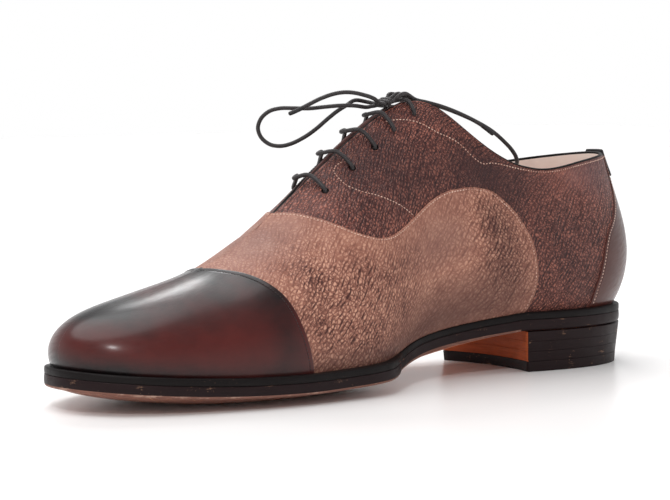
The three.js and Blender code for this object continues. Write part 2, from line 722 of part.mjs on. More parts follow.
addPiece("upper", upperGeometry(), grainedLeather);
addPiece("tongue", tongueGeometry(), tongueLeather);
addPiece("insole", insoleGeometry(), insoleLeather);
addPiece("welt", weltGeometry(), edgeLeather);
addPiece("outsole", outsoleGeometry(), soleLeather);
addHeel();
addPiece("heel_tab", heelTabGeometry(), edgeLeather);
EYELET_ROWS.forEach((row, k) => addPiece(`lace_bar_${k + 1}`, laceBarGeometry(row), waxedLace));
addPiece("lace_knot", knotGeometry(), waxedLace);
Object.entries(BOW).forEach(([name, route]) => addPiece(name, bowGeometry(route), waxedLace));

const part = new THREE.Group();
part.add(shoe);
export default part;
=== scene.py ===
import math

import bmesh
import bpy
import numpy as np
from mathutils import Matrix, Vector


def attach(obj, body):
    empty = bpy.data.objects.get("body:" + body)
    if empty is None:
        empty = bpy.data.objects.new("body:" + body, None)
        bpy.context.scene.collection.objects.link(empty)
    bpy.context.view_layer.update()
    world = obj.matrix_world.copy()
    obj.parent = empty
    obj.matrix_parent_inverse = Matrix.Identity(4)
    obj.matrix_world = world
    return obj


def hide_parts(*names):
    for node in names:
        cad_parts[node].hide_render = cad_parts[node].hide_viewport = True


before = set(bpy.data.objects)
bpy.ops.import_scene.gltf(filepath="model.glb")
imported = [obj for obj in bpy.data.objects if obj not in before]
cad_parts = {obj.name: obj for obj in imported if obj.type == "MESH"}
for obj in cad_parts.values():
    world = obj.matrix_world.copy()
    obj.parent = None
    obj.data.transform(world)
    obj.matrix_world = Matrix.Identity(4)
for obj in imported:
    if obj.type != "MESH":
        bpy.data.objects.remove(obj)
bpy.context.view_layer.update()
MM = 0.001
BODY = "root"

# Driving sizes of the last, in mm
LENGTH = 300
BALL = 98
INSTEP = 100
HEEL_SEAT = 27
TOE_SPRING = 5.5
HEEL_CENTRE = 33

# Leather and bottom stock, in mm
QUARTER = 1.6
OVERLAY = 0.6
INSOLE = 2.2
WELT = 3
OUTSOLE = 5
CROWN = 5.2
CROWN_LIFT = 4.3
HEEL_TOP_PIECE = 4.6
HEEL_LIFTS = 3
HEEL_TAPER = 0.5
BREAST = 71
BREAST_HOLLOW = 5
TONGUE = 1.6
GAP = 0.3
LACE = 1.8

BASE_OUT = -OVERLAY
VAMP_OUT = 0
CAP_OUT = OVERLAY
LINING_IN = BASE_OUT - QUARTER
SOLE_EDGE = GAP + WELT + GAP + OUTSOLE
BALL_FEATHER = SOLE_EDGE + CROWN_LIFT

# Sections from the toe along the inside to the heel and back along the outside. Columns:
# footX, footY, topX, topY, rise, footOut, footUp, topOut, topUp. X is a share of LENGTH, Y and Out
# of BALL, rise and Up of INSTEP.
SECTION_ROWS = np.array([
    [1.003, 0, 0.925, 0, 0.255, 0.05, 0.135, 0.143, 0],
    [0.985, 0.165, 0.915, 0, 0.265, 0.05, 0.13, 0.163, 0],
    [0.935, 0.29, 0.875, 0, 0.3, 0.03, 0.13, 0.224, -0.005],
    [0.865, 0.365, 0.82, 0, 0.35, 0.03, 0.15, 0.255, -0.01],
    [0.785, 0.42, 0.757, 0.002, 0.41, 0.03, 0.19, 0.265, -0.025],
    [0.705, 0.45, 0.697, 0.003, 0.51, 0.03, 0.24, 0.265, -0.04],
    [0.63, 0.43, 0.645, 0.003, 0.63, 0.04, 0.28, 0.255, -0.065],
    [0.578, 0.43, 0.593, 0.018, 0.75, 0.05, 0.32, 0.245, -0.09],
    [0.53, 0.39, 0.54, 0.022, 0.855, 0.06, 0.32, 0.225, -0.1],
    [0.465, 0.245, 0.485, 0.026, 0.94, 0.112, 0.34, 0.195, -0.11],
    [0.385, 0.195, 0.432, 0.032, 1, 0.133, 0.36, 0.155, -0.12],
    [0.3, 0.215, 0.385, 0.105, 1.01, 0.112, 0.32, 0.1, -0.16],
    [0.23, 0.24, 0.325, 0.245, 0.765, 0.082, 0.26, 0.04, -0.16],
    [0.155, 0.28, 0.24, 0.3, 0.605, 0.07, 0.22, 0.01, -0.16],
    [0.075, 0.26, 0.135, 0.262, 0.66, 0.115, 0.24, 0.045, -0.2],
    [0.016, 0.155, 0.039, 0.16, 0.685, 0.15, 0.26, 0.055, -0.24],
    [-0.004, 0, 0.008, 0, 0.695, 0.16, 0.26, 0.06, -0.24],
    [0.016, -0.155, 0.039, -0.16, 0.68, 0.15, 0.26, 0.055, -0.24],
    [0.075, -0.265, 0.135, -0.262, 0.65, 0.115, 0.24, 0.045, -0.2],
    [0.15, -0.31, 0.245, -0.29, 0.605, 0.056, 0.2, 0.01, -0.16],
    [0.22, -0.325, 0.325, -0.25, 0.755, 0.061, 0.22, 0.04, -0.16],
    [0.29, -0.335, 0.385, -0.11, 0.975, 0.07, 0.28, 0.112, -0.16],
    [0.36, -0.36, 0.432, -0.032, 0.99, 0.07, 0.3, 0.185, -0.12],
    [0.43, -0.4, 0.485, -0.026, 0.94, 0.07, 0.3, 0.195, -0.12],
    [0.495, -0.45, 0.54, -0.022, 0.855, 0.066, 0.28, 0.225, -0.11],
    [0.558, -0.5, 0.593, -0.018, 0.75, 0.056, 0.26, 0.245, -0.1],
    [0.625, -0.535, 0.645, 0.003, 0.63, 0.046, 0.23, 0.265, -0.08],
    [0.7, -0.535, 0.697, 0.003, 0.51, 0.04, 0.2, 0.265, -0.06],
    [0.78, -0.49, 0.757, 0.002, 0.41, 0.035, 0.17, 0.265, -0.04],
    [0.862, -0.41, 0.82, 0, 0.35, 0.03, 0.14, 0.255, -0.02],
    [0.933, -0.305, 0.875, 0, 0.3, 0.03, 0.12, 0.224, -0.005],
    [0.984, -0.17, 0.915, 0, 0.265, 0.05, 0.13, 0.163, 0],
])
SECTIONS = len(SECTION_ROWS)  # numbered from 0 at the toe, on the inside first
HEEL = SECTIONS / 2
THROAT = 5.7
FACING_TOP = 10.6

# Shares of LENGTH against shares of what each column names
FEATHER = [  # at, share of the heel's rise, share of the toe spring
    [-0.1, 1, 0], [0, 1, 0], [0.12, 1, 0], [0.235, 1, 0], [0.27, 0.94, 0], [0.32, 0.84, 0],
    [0.42, 0.58, 0], [0.5, 0.26, 0], [0.56, 0.09, 0], [0.62, 0.03, 0], [0.7, 0, 0],
    [0.78, 0, 0.06], [0.86, 0, 0.26], [0.94, 0, 0.58], [1.02, 0, 1], [1.1, 0, 1.5],
]
CROWN_SHARE = [
    [-0.1, 0], [0.24, 0], [0.3, 0.5], [0.4, 0.9], [0.55, 1], [0.8, 1], [0.92, 0.65], [1.02, 0.3],
]
EDGE = [  # at, sole edge outside the feather line on the inside and on the outside, mm
    [-0.1, 2.6, 2.6], [0.1, 2.6, 2.6], [0.22, 2, 2.4], [0.3, 0.8, 2.4], [0.42, 0.3, 3],
    [0.5, 0.8, 3.9], [0.53, 3, 4.3], [0.56, 4.4, 4.5], [0.65, 4.4, 4.6], [0.83, 4, 4.2],
    [0.9, 3.7, 3.7], [0.95, 3.2, 3.2], [1.1, 2.8, 2.8],
]

# Seams of one side as section number and share of the height
VAMP_SEAM = [
    [5.9, 1], [6.24, 0.865], [6.6, 0.74], [7.05, 0.61], [7.6, 0.52], [8.1, 0.485], [8.65, 0.48],
    [9.3, 0.487], [10.15, 0.512], [10.85, 0.54], [11.35, 0.58], [11.9, 0.62], [12.25, 0.55],
    [12.35, 0.42], [12.3, 0.29], [12.2, 0.17], [12, 0.04], [11.9, 0],
]
CAP_SEAM = [
    [3.62, 1], [3.8, 0.985], [4.1, 0.865], [4.4, 0.74], [4.65, 0.61], [4.85, 0.48],
    [4.97, 0.36], [5.05, 0.25], [5.13, 0.14], [5.2, 0.04], [5.22, 0],
]
STRIP_SEAM = [
    [15.3, 1], [15.15, 0.85], [14.85, 0.7], [14.5, 0.58], [14.2, 0.49], [14.05, 0.42],
    [13.92, 0.34], [13.74, 0.21], [13.62, 0.12], [13.54, 0],
]
TOP_LINE_SEAM = [
    [9.45, 0.93], [9.69, 0.905], [10.38, 0.83], [10.79, 0.787], [11.36, 0.8], [11.79, 0.787],
    [12.15, 0.88], [12.4, 0.93], [12.7, 0.962], [13.1, 0.972], [13.8, 0.973], [14.6, 0.973], [15.3, 0.973],
]
HOOK_SEAM = [
    [7.89, 0.925], [7.68, 0.93], [7.55, 0.9], [7.54, 0.83], [7.71, 0.753], [8.09, 0.672],
    [8.35, 0.623], [8.78, 0.545], [9.05, 0.49],
]
EYELET_ROWS = [  # section, share of the height, how far the bar bows over the slit in mm
    (7.1, 0.86, 1.8), (7.95, 0.86, 1.8), (8.75, 0.86, 1.8), (9.5, 0.86, 1), (10.33, 0.89, 0.25),
]
BAR_COURSE = [  # share of the way up to the slit, share of the bow, how far ahead of its row
    (0.2, 0, 0), (0.5, 0.4, 0), (0.86, 0.8, 0.02), (1, 1, 0.08),
]
BAR_SAG = 2.6


def step_between(value, low, high):
    t = np.clip((value - low) / (high - low), 0, 1)
    return t * t * (3 - 2 * t)


def along_table(rows, at, column):
    """A monotone curve through the rows of a table."""
    rows = np.array(rows, float)
    x, y = rows[:, 0], rows[:, column]
    secant = np.diff(y) / np.diff(x)
    before, after = secant[:-1], secant[1:]
    total = np.where(before * after > 0, before + after, 1)
    inner = np.where(before * after > 0, 2 * before * after / total, 0)
    slope = np.concatenate([secant[:1], inner, secant[-1:]])
    at = np.clip(at, x[0], x[-1])
    i = np.clip(np.searchsorted(x, at, side="right") - 1, 0, len(x) - 2)
    step = x[i + 1] - x[i]
    t = (at - x[i]) / step
    bend = t * (1 - t) * step * ((1 - t) * slope[i] - t * slope[i + 1])
    return y[i] + t * t * (3 - 2 * t) * (y[i + 1] - y[i]) + bend


def unit(vectors):
    return vectors / np.maximum(np.linalg.norm(vectors, axis=-1, keepdims=True), 1e-9)


def stack(*columns):
    return np.stack(np.broadcast_arrays(*columns), axis=-1)


def run_along(points):
    """The length of a line from its first point to each of its points."""
    return np.concatenate([[0], np.cumsum(np.linalg.norm(np.diff(points, axis=0), axis=1))])


def at_lengths(points, length, wanted):
    return stack(*[np.interp(wanted, length, column) for column in points.T])


def feather(x):
    at = x / LENGTH
    fall = (HEEL_SEAT - BALL_FEATHER) * along_table(FEATHER, at, 1)
    return BALL_FEATHER + fall + TOE_SPRING * along_table(FEATHER, at, 2)


def section(number):
    """The columns of SECTION_ROWS at any section number, on a smooth closed curve."""
    number = np.asarray(number, float)
    base = np.floor(number).astype(int)
    t = (number - base)[..., None]
    weights = ((1 - t) ** 3, 3 * t**3 - 6 * t**2 + 4, -3 * t**3 + 3 * t**2 + 3 * t + 1, t**3)
    rows = [SECTION_ROWS[(base + k - 1) % SECTIONS] for k in range(4)]
    return sum(weight * row for weight, row in zip(weights, rows)) / 6


def foot_of(number):
    values = section(number)
    x = values[..., 0] * LENGTH
    return stack(x, values[..., 1] * BALL, feather(x))


def out_of(number):
    number = np.asarray(number, float)
    along = foot_of(number + 0.02) - foot_of(number - 0.02)
    return unit(stack(along[..., 1], -along[..., 0], 0.0))


def own_top(number):
    values = section(number)
    x = values[..., 2] * LENGTH
    return stack(x, values[..., 3] * BALL, feather(x) + values[..., 4] * INSTEP)


def from_toe_of(number):
    wrapped = np.asarray(number, float) % SECTIONS
    return np.minimum(wrapped, SECTIONS - wrapped)


def ridge_step(from_toe):
    start = np.maximum(from_toe - 0.5, 0)
    return own_top(start) - own_top(start + 1)


def top_of(number):
    """Ahead of the throat both sides end at the same point of the ridge."""
    own = own_top(number)
    both = (own + own_top(SECTIONS - np.asarray(number, float))) / 2
    apart = step_between(from_toe_of(number), THROAT - 0.1, THROAT + 0.1)[..., None]
    return both + (own - both) * apart


def surface(numbers):
    """Points of the last, from pairs: section number, and share of the height up from the sole."""
    number, share = numbers[..., 0], numbers[..., 1]
    values = section(number)
    foot, top, out = foot_of(number), top_of(number), out_of(number)
    low = foot + out * (values[..., 5:6] * BALL)
    low[..., 2] += values[..., 6] * INSTEP
    high = top + out * (values[..., 7:8] * BALL)
    from_toe = from_toe_of(number)
    along = ridge_step(np.minimum(from_toe, THROAT))
    closed = 1 - step_between(from_toe, THROAT - 2, THROAT)
    lean = out[..., 0] * values[..., 7] * BALL
    high[..., 2] += values[..., 8] * INSTEP + closed * lean * along[..., 2] / along[..., 0]
    t = share[..., None]
    return (1 - t) ** 3 * foot + 3 * t * (1 - t) ** 2 * low + 3 * t**2 * (1 - t) * high + t**3 * top


NUMBER_STEP = np.array([1.0, 0])
SHARE_STEP = np.array([0, 1.0])


def rates(numbers, step=0.004):
    """How far a point of the last moves for each section number and for each share."""
    moves = [(surface(numbers + way * step) - surface(numbers - way * step)) / (2 * step)
             for way in (NUMBER_STEP, SHARE_STEP)]
    return moves[0], moves[1]


def normal(numbers):
    own = unit(np.cross(*rates(numbers, 0.002)))
    from_toe = from_toe_of(numbers[..., 0])
    along = ridge_step(np.minimum(from_toe, FACING_TOP))
    ridge = unit(stack(-along[..., 2], 0.0, along[..., 0]))
    behind = step_between(from_toe, THROAT - 0.2, THROAT + 0.2)
    weight = step_between(numbers[..., 1], 0.95, 1) * (1 - behind)
    return unit(own + (ridge - own) * weight[..., None])


def offset(numbers, distance):
    """Points at a distance outside the last."""
    return surface(numbers) + normal(numbers) * np.asarray(distance, float)[..., None]


def spline(points, per_span=12):
    """A smooth curve through points, spaced by the distances between them."""
    points = np.array(points, float)
    first = 2 * points[0] - points[1]
    last = 2 * points[-1] - points[-2]
    padded = np.vstack([first, points, last])
    out = []
    for p0, p1, p2, p3 in zip(padded, padded[1:], padded[2:], padded[3:]):
        d1, d2, d3 = (max(np.linalg.norm(b - a), 1e-6) ** 0.5 for a, b in ((p0, p1), (p1, p2), (p2, p3)))
        m1 = ((p1 - p0) / d1 - (p2 - p0) / (d1 + d2) + (p2 - p1) / d2) * d2
        m2 = ((p2 - p1) / d2 - (p3 - p1) / (d2 + d3) + (p3 - p2) / d3) * d2
        t = np.linspace(0, 1, per_span, endpoint=False)[:, None]
        out.append((2 * t**3 - 3 * t**2 + 1) * p1 + (t**3 - 2 * t**2 + t) * m1
                   + (3 * t**2 - 2 * t**3) * p2 + (t**3 - t**2) * m2)
    return np.vstack(out + [points[-1:]])


def even(points, count, along=None):
    """Points respaced evenly, by their own length or by the length of another path."""
    points = np.asarray(points, float)
    length = run_along(points if along is None else along)
    return at_lengths(points, length, np.linspace(0, length[-1], count))


class Builder:
    """Gathers the grids and small meshes of one piece, in millimetres from the back of the heel."""

    def __init__(self):
        self.points, self.faces, self.uvs, self.slots, self.tones = [], [], [], [], []
        self.count = 0

    def add(self, points, faces, uv=None, slot=0, tone=None):
        points = np.asarray(points, float).reshape(-1, 3)
        self.points.append(points)
        for kept, values in ((self.uvs, uv), (self.tones, tone)):
            kept.append(np.zeros((len(points), 2)) if values is None else np.reshape(values, (-1, 2)))
        self.faces.extend((np.asarray(faces) + self.count).tolist())
        self.slots.extend(np.broadcast_to(slot, len(faces)))
        self.count += len(points)
        return self

    def grid(self, points, uv=None, slot=0, tone=None, flip=False, keep=None):
        index = np.arange(points[..., 0].size).reshape(points.shape[:2])
        quads = stack(index[:-1, :-1], index[:-1, 1:], index[1:, 1:], index[1:, :-1])
        chosen = np.ones(quads.shape[:2], bool) if keep is None else keep
        slots = np.broadcast_to(slot, quads.shape[:2])[chosen]
        quads = quads[chosen]
        return self.add(points, quads[:, ::-1] if flip else quads, uv, slots, tone)

    def make(self, name, materials, weld=0.004):
        points = (np.vstack(self.points) - [HEEL_CENTRE, 0, 0]) * MM
        mesh = bpy.data.meshes.new(name)
        mesh.from_pydata(points.tolist(), [], self.faces)
        for material in materials:
            mesh.materials.append(material)
        mesh.polygons.foreach_set("material_index", np.array(self.slots, np.int32))
        corner = np.zeros(len(mesh.loops), np.int32)
        mesh.loops.foreach_get("vertex_index", corner)
        layer = mesh.uv_layers.new(name="UVMap")
        layer.data.foreach_set("uv", np.vstack(self.uvs)[corner].astype(np.float32).ravel())
        for column, label in zip(np.vstack(self.tones).T, ("tone", "grain")):
            attribute = mesh.attributes.new(label, "FLOAT", "POINT")
            attribute.data.foreach_set("value", column.astype(np.float32))
        mesh.shade_smooth()
        if weld:
            work = bmesh.new()
            work.from_mesh(mesh)
            bmesh.ops.remove_doubles(work, verts=work.verts, dist=weld * MM)
            work.to_mesh(mesh)
            work.free()
        piece = bpy.data.objects.new(name, mesh)
        bpy.context.scene.collection.objects.link(piece)
        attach(piece, BODY)
        return piece


# The bottom: rings of points under the feather line, inside and outside paired at the same x
SPINE_END = 0.08
BOTTOM_STATIONS = 230


class Bottom:
    def __init__(self):
        dense = np.linspace(0, HEEL, 4001)
        self.inside = (-foot_of(dense)[:, 0], dense)
        self.outside = (-foot_of(SECTIONS - dense)[:, 0], SECTIONS - dense)
        inner = np.linspace(0, HEEL, BOTTOM_STATIONS + 1)
        outer = self.number_at(foot_of(inner[-2:0:-1])[:, 0], self.outside)
        self.number = np.concatenate([inner, outer, [SECTIONS]])
        self.foot = foot_of(self.number)
        self.out = out_of(self.number)
        self.spine = self.spine_at(self.foot[:, 0])
        gap = self.spine[:, :2] - self.foot[:, :2]
        self.reach = np.hypot(gap[:, 0], gap[:, 1])
        column = np.where(self.number <= HEEL, 1, 2)
        at = self.foot[:, 0] / LENGTH
        self.edge = np.where(column == 1, along_table(EDGE, at, 1), along_table(EDGE, at, 2))
        self.around = run_along(self.foot)

    @staticmethod
    def number_at(x, side):
        return np.interp(-x, side[0], side[1])

    def spine_at(self, x):
        at = np.clip(x, SPINE_END * LENGTH, (1 - SPINE_END) * LENGTH)
        sides = [foot_of(self.number_at(at, side))[..., 1] for side in (self.inside, self.outside)]
        return stack(at, (sides[0] + sides[1]) / 2, 0.0)

    def ring(self, inset, depth):
        inset = np.broadcast_to(np.asarray(inset, float), self.reach.shape)
        share = np.clip(inset / self.reach, 0, 1)[:, None]
        place = self.foot + (self.spine - self.foot) * share + self.out * np.maximum(-inset, 0)[:, None]
        hang = CROWN * along_table(CROWN_SHARE, place[:, 0] / LENGTH, 1) * (1 - (1 - share[:, 0]) ** 3)
        place[:, 2] = np.maximum(feather(place[:, 0]) - depth - hang, 0)
        return place

    def rings(self, rows):
        return np.array([self.ring(inset, depth) for inset, depth in rows])


bottom = Bottom()


def bottom_uv(row_length):
    """Lengths along the edge and down it, a tenth of a metre to the unit."""
    return stack(bottom.around[None, :] / 100, np.asarray(row_length, float)[:, None] / 100)


def make_welt(materials):
    """The strip that shows round the upper, with a rounded edge."""
    w = bottom.edge
    rows = [(7, 0.3), (0.5, 0.3), (-0.45 * w, 0.3), (1.1 - w, 0.32), (0.5 - w, 0.4), (0.18 - w, 0.62),
            (-w, 1), (-0.06 - w, 2), (-w, 3), (0.05 - w, 3.24), (0.2 - w, 3.37), (0.5 - w, 3.42), (7, 3.42)]
    uv = bottom_uv([-8, -3, -2, -1, 0, 0.3, 0.7, 1.7, 2.6, 2.9, 3.1, 3.5, 9])
    return Builder().grid(bottom.rings(rows), uv).make("welt_strip", materials)


UNDER_RINGS = 22


def make_outsole(materials):
    w = bottom.edge
    edge = [(7, 3.44), (0.5 - w, 3.44), (0.2 - w, 3.48), (0.05 - w, 3.6), (-w, 3.85), (-0.1 - w, 5.2),
            (-0.1 - w, 6.6), (0.02 - w, 7.45), (0.2 - w, 7.95), (0.5 - w, 8.28), (0.85 - w, 8.45)]
    spread = np.linspace(0, 1, UNDER_RINGS)
    inner = [(2.4 - w + (bottom.reach - 2.4 + w) * t, SOLE_EDGE) for t in spread]
    points = bottom.rings(edge + [(1.1 - w, 8.52), (1.5 - w, SOLE_EDGE)] + inner)
    slots = np.zeros((len(points) - 1, points.shape[1] - 1), int)
    slots[len(edge) - 1:] = 1
    ahead_of_heel = bottom.foot[:-1, 0] > BREAST + 4
    slots[len(edge) - 4:len(edge), ahead_of_heel] = 2
    uv = points[..., :2] / 100
    uv[:len(edge)] = bottom_uv(0.9 * np.arange(len(edge)))
    return Builder().grid(points, uv, slots).make("outsole_leather", materials)


def make_sock(materials):
    """The sock over the insole, seen through the mouth."""
    clearance = OVERLAY + QUARTER + GAP
    start = clearance + 0.5
    rows = [(clearance, -GAP), (clearance, -INSOLE)]
    rows += [(start + (bottom.reach - start) * t, -INSOLE - GAP) for t in np.linspace(0, 1, 20)]
    points = bottom.rings(rows)
    return Builder().grid(points, points[..., :2] / 100).make("sock", materials)


def heel_outline(inset):
    corner = BREAST - inset
    ring = bottom.foot + bottom.out * (bottom.edge - inset)[:, None]
    kept = ring[ring[:, 0] < corner]
    first, last = kept[0], kept[-1]
    t = np.linspace(0, 1, 25)[:, None]
    ends = np.array([[corner, last[1]], [corner, first[1]]])
    middle = np.array([corner - 2 * BREAST_HOLLOW, (first[1] + last[1]) / 2])
    breast = (1 - t) ** 2 * ends[0] + 2 * t * (1 - t) * middle + t**2 * ends[1]
    back = even(np.vstack([ends[1], kept[:, :2], ends[0]]), 200)
    return np.vstack([back, breast[1:]]), len(back)


HEEL_LAYER_EDGE = [  # inset in mm, share of the height
    (0.05, 0), (0.01, 0.04), (0, 0.22), (0, 0.78), (0.01, 0.96), (0.05, 1),
]


def make_heel_layer(name, bottom_z, top_z, insets, materials, breast_slot):
    """One layer of the heel between two heights, with its edges just rounded."""
    rows = []
    for extra, level in HEEL_LAYER_EDGE:
        outline, back_count = heel_outline(insets[0] + (insets[1] - insets[0]) * level + extra)
        rows.append(stack(outline[:, 0], outline[:, 1], bottom_z + (top_z - bottom_z) * level))
    points = np.array(rows)
    slots = np.zeros((len(rows) - 1, points.shape[1] - 1), int)
    slots[:, back_count - 1:] = breast_slot
    build = Builder()
    build.grid(points, stack(run_along(points[0])[None, :] / 100, points[..., 2] / 100), slots)
    for ring, turn in ((points[0], -1), (points[-1], 1)):
        fan = np.vstack([ring[:-1], ring.mean(axis=0)])
        size = len(fan) - 1
        index = np.arange(size)
        build.add(fan, stack(index, (index + 1) % size, size)[:, ::turn], fan[:, :2] / 100)
    return build.make(name, materials)


# Leather panels: grids that follow a seam, so that each leather keeps a crisp edge
TUCK = -0.006  # how far the leathers reach under the feather line, a share of the height
# Distance in from a panel's edge, and height of its face there, in mm
EDGE_ROUND = [(0, -1.2), (0, -0.34), (0.05, -0.18), (0.15, -0.06), (0.32, 0), (0.6, 0.03)]
EDGE_FLAT = [0.9, 1.2, 1.5, 1.8, 2.1, 2.4, 2.8, 3.3, 4]
GROOVE_DEPTH = 0.13
GROOVE_WIDTH = 0.26


def seam_path(seam, rows):
    fine = spline(seam)
    return even(fine, rows, surface(fine))


def to_numbers(path, moves):
    """Turns moves in mm over the surface into steps of section number and share."""
    by_number, by_share = rates(path)
    a = (by_number * by_number).sum(-1)
    b = (by_number * by_share).sum(-1)
    c = (by_share * by_share).sum(-1)
    p = (moves * by_number).sum(-1)
    q = (moves * by_share).sum(-1)
    scale = a * c - b * b
    return stack((c * p - b * q) / scale, (a * q - b * p) / scale)


def across(path, side):
    """Step at right angles to a path, for each mm, to the side where (number, share) . side grows."""
    along = unit(np.gradient(surface(path), axis=0))
    step = to_numbers(path, np.cross(normal(path), along))
    return step * np.sign((step * np.array(side)).sum(-1).mean())


def square_ends(path, step):
    """At the ridge and at the sole a panel's edge runs along them."""
    by_number, _ = rates(path)
    straight = stack(np.sign(step[:, 0]) / np.linalg.norm(by_number, axis=-1), 0.0)
    rows = np.arange(len(path))
    weight = np.maximum(np.exp(-rows / 3), np.exp(-(len(path) - 1 - rows) / 3))[:, None]
    return step + (straight - step) * weight


FLAT_SCALE = np.array([17, 100])  # a section number and a share in mm, roughly


def relax(grid, rounds):
    """Spreads the inner points of a grid between its borders without folds."""
    grid = grid * FLAT_SCALE
    for _ in range(rounds):
        down = (grid[2:, 1:-1] - grid[:-2, 1:-1]) / 2
        along = (grid[1:-1, 2:] - grid[1:-1, :-2]) / 2
        a, c = (along**2).sum(-1, keepdims=True), (down**2).sum(-1, keepdims=True)
        b = (down * along).sum(-1, keepdims=True)
        cross = (grid[2:, 2:] - grid[2:, :-2] - grid[:-2, 2:] + grid[:-2, :-2]) / 4
        total = a * (grid[2:, 1:-1] + grid[:-2, 1:-1]) + c * (grid[1:-1, 2:] + grid[1:-1, :-2])
        grid[1:-1, 1:-1] = (total - 2 * b * cross) / (2 * (a + c) + 1e-12)
    return grid / FLAT_SCALE


def resample(grid, rows, columns):
    """A grid of more points over the same one."""
    def along_first(values, count):
        at = np.linspace(0, len(values) - 1, count)
        low = np.clip(np.floor(at).astype(int), 0, len(values) - 2)
        t = (at - low)[:, None, None]
        return values[low] * (1 - t) + values[low + 1] * t
    return along_first(along_first(grid, rows).swapaxes(0, 1), columns).swapaxes(0, 1)


def panel_numbers(seam, target, rows, columns, side, spread=1):
    """A grid of (number, share) from a seam to a target line, and each column's lift.

    spread: how the seam's rows are shared out along the target line."""
    path = seam_path(seam, rows)
    path[0, 1], path[-1, 1] = seam[0][1], seam[-1][1]
    step = square_ends(path, across(path, side))
    near = [d for d, _ in EDGE_ROUND] + EDGE_FLAT
    first = path[:, None, :] + step[:, None, :] * np.array(near)[None, :, None]
    first[..., 1] = np.clip(first[..., 1], 0, seam[0][1])
    coarse_rows, coarse_columns = rows // 4, columns // 4
    start = first[np.linspace(0, rows - 1, coarse_rows).round().astype(int), -1]
    t = np.linspace(0, 1, coarse_columns)[None, :, None]
    goal = target(1 - (1 - np.linspace(0, 1, coarse_rows)) ** spread)[:, None, :]
    inner = relax(start[:, None, :] + (goal - start[:, None, :]) * t, 900)
    inner = resample(inner, rows, columns)
    inner[:, 0] = first[:, -1]
    inner[:, -1] = target(np.linspace(0, 1, rows))
    inner = relax(inner, 60)
    grid = np.concatenate([first, inner[:, 1:]], axis=1)
    grid[..., 1] = TUCK + grid[..., 1] * (1 - TUCK)
    flat = [0.03 * (1 - (k + 1) / len(EDGE_FLAT)) for k in range(len(EDGE_FLAT))]
    lifts = [lift for _, lift in EDGE_ROUND] + flat
    return grid, np.array(lifts + [0] * (columns - 1)), np.array(near + [99] * (columns - 1))


def mirrored(grid):
    return stack(SECTIONS - grid[..., 0], grid[..., 1])


# Lengths over the surface, for the grain's scale
NUMBERS = np.linspace(0, SECTIONS, 257)
AROUND = run_along(surface(stack(NUMBERS, 0.5)))
LINES = surface(stack(NUMBERS[:, None], np.linspace(0, 1, 21)[None, :]))
HEIGHTS = np.linalg.norm(np.diff(LINES, axis=1), axis=2).sum(axis=1)


def around_at(number):
    return np.interp(number % SECTIONS, NUMBERS, AROUND)


def height_at(number):
    return np.interp(number % SECTIONS, NUMBERS, HEIGHTS)


def laid_flat(numbers):
    """Where points of the last lie on the flat leather: mm around and mm up."""
    return stack(around_at(numbers[..., 0]), numbers[..., 1] * height_at(numbers[..., 0]))


def leather_uv(numbers):
    return laid_flat(numbers) / 100


# Soft creases and swellings of the worn leather: where each lies, as section number and share, how
# far it spreads along and across its run, its turn in degrees, and its height in mm
FOLDS = [
    (5.3, 0.72, 30, 3.2, 78, -0.45), (5.75, 0.66, 26, 2.8, 74, 0.28), (6.2, 0.6, 24, 3, 70, -0.35),
    (26.6, 0.7, 30, 3.2, -78, -0.45), (26.1, 0.64, 26, 2.8, -74, 0.28), (25.7, 0.58, 24, 3, -70, -0.35),
    (10.4, 0.34, 20, 2.6, 40, -0.3), (10.8, 0.28, 18, 2.4, 42, 0.22), (11.6, 0.8, 22, 3, 30, -0.35),
    (12.6, 0.66, 20, 3, 52, -0.35), (13.1, 0.6, 18, 2.6, 55, 0.25), (13.7, 0.7, 22, 3, 60, -0.25),
    (19.4, 0.66, 20, 3, -52, -0.35), (20.4, 0.8, 22, 3, -30, -0.35), (21.6, 0.3, 20, 2.6, -40, -0.3),
]


def spot(flat, at, level, long, wide, turn=0):
    """A soft spot of height 1 round a section number and share."""
    du = flat[..., 0] - around_at(at)
    du = du - AROUND[-1] * np.round(du / AROUND[-1])
    dv = flat[..., 1] - level * height_at(at)
    c, s = math.cos(math.radians(turn)), math.sin(math.radians(turn))
    return np.exp(-((du * c + dv * s) / long) ** 2 - ((dv * c - du * s) / wide) ** 2)


def spots(table, numbers):
    """The sum of a table's spots over a panel. The last column is how high or dark each one is."""
    flat = laid_flat(numbers)
    return sum(amount * spot(flat, *place) for *place, amount in table)


def make_panel(name, materials, panel, face, tones, stitch_line, fall=0.0):
    """Both sides of a leather, with a groove for the line of stitches near its edge."""
    grid, lifts, near = panel
    heights = face + lifts - GROOVE_DEPTH * np.exp(-((near - stitch_line) / GROOVE_WIDTH) ** 2)
    build = Builder()
    for numbers, flip in ((grid, True), (mirrored(grid), False)):
        points = offset(numbers, heights[None, :] + spots(FOLDS, numbers) + fall)
        build.grid(points, leather_uv(numbers), 0, tones(numbers), flip)
    return build.make(name, materials, weld=0.02)


def at_toe(level):
    return stack(0.0, 1 - level)


def at_back(level):
    return stack(HEEL, (1 - level) * STRIP_TOP)


def under_cap(level):
    """A line 8 mm under the cap's edge. The level is 0 at the ridge and 1 at the sole."""
    fine = spline(CAP_SEAM)
    share = 1 - np.asarray(level)
    return stack(np.interp(-share, -fine[:, 1], fine[:, 0]) - 0.45, share)


def make_vamp(materials):
    panel = panel_numbers(VAMP_SEAM, under_cap, 232, 120, (-1, 0), 1.8)
    return make_panel("vamp_leather", materials, panel, VAMP_OUT, vamp_tones, 1.2)


def make_cap(materials):
    panel = panel_numbers(CAP_SEAM, at_toe, 132, 108, (-1, 0))
    return make_panel("toe_cap", materials, panel, CAP_OUT, cap_tones, 2.1)


STRIP_TOP = 0.975


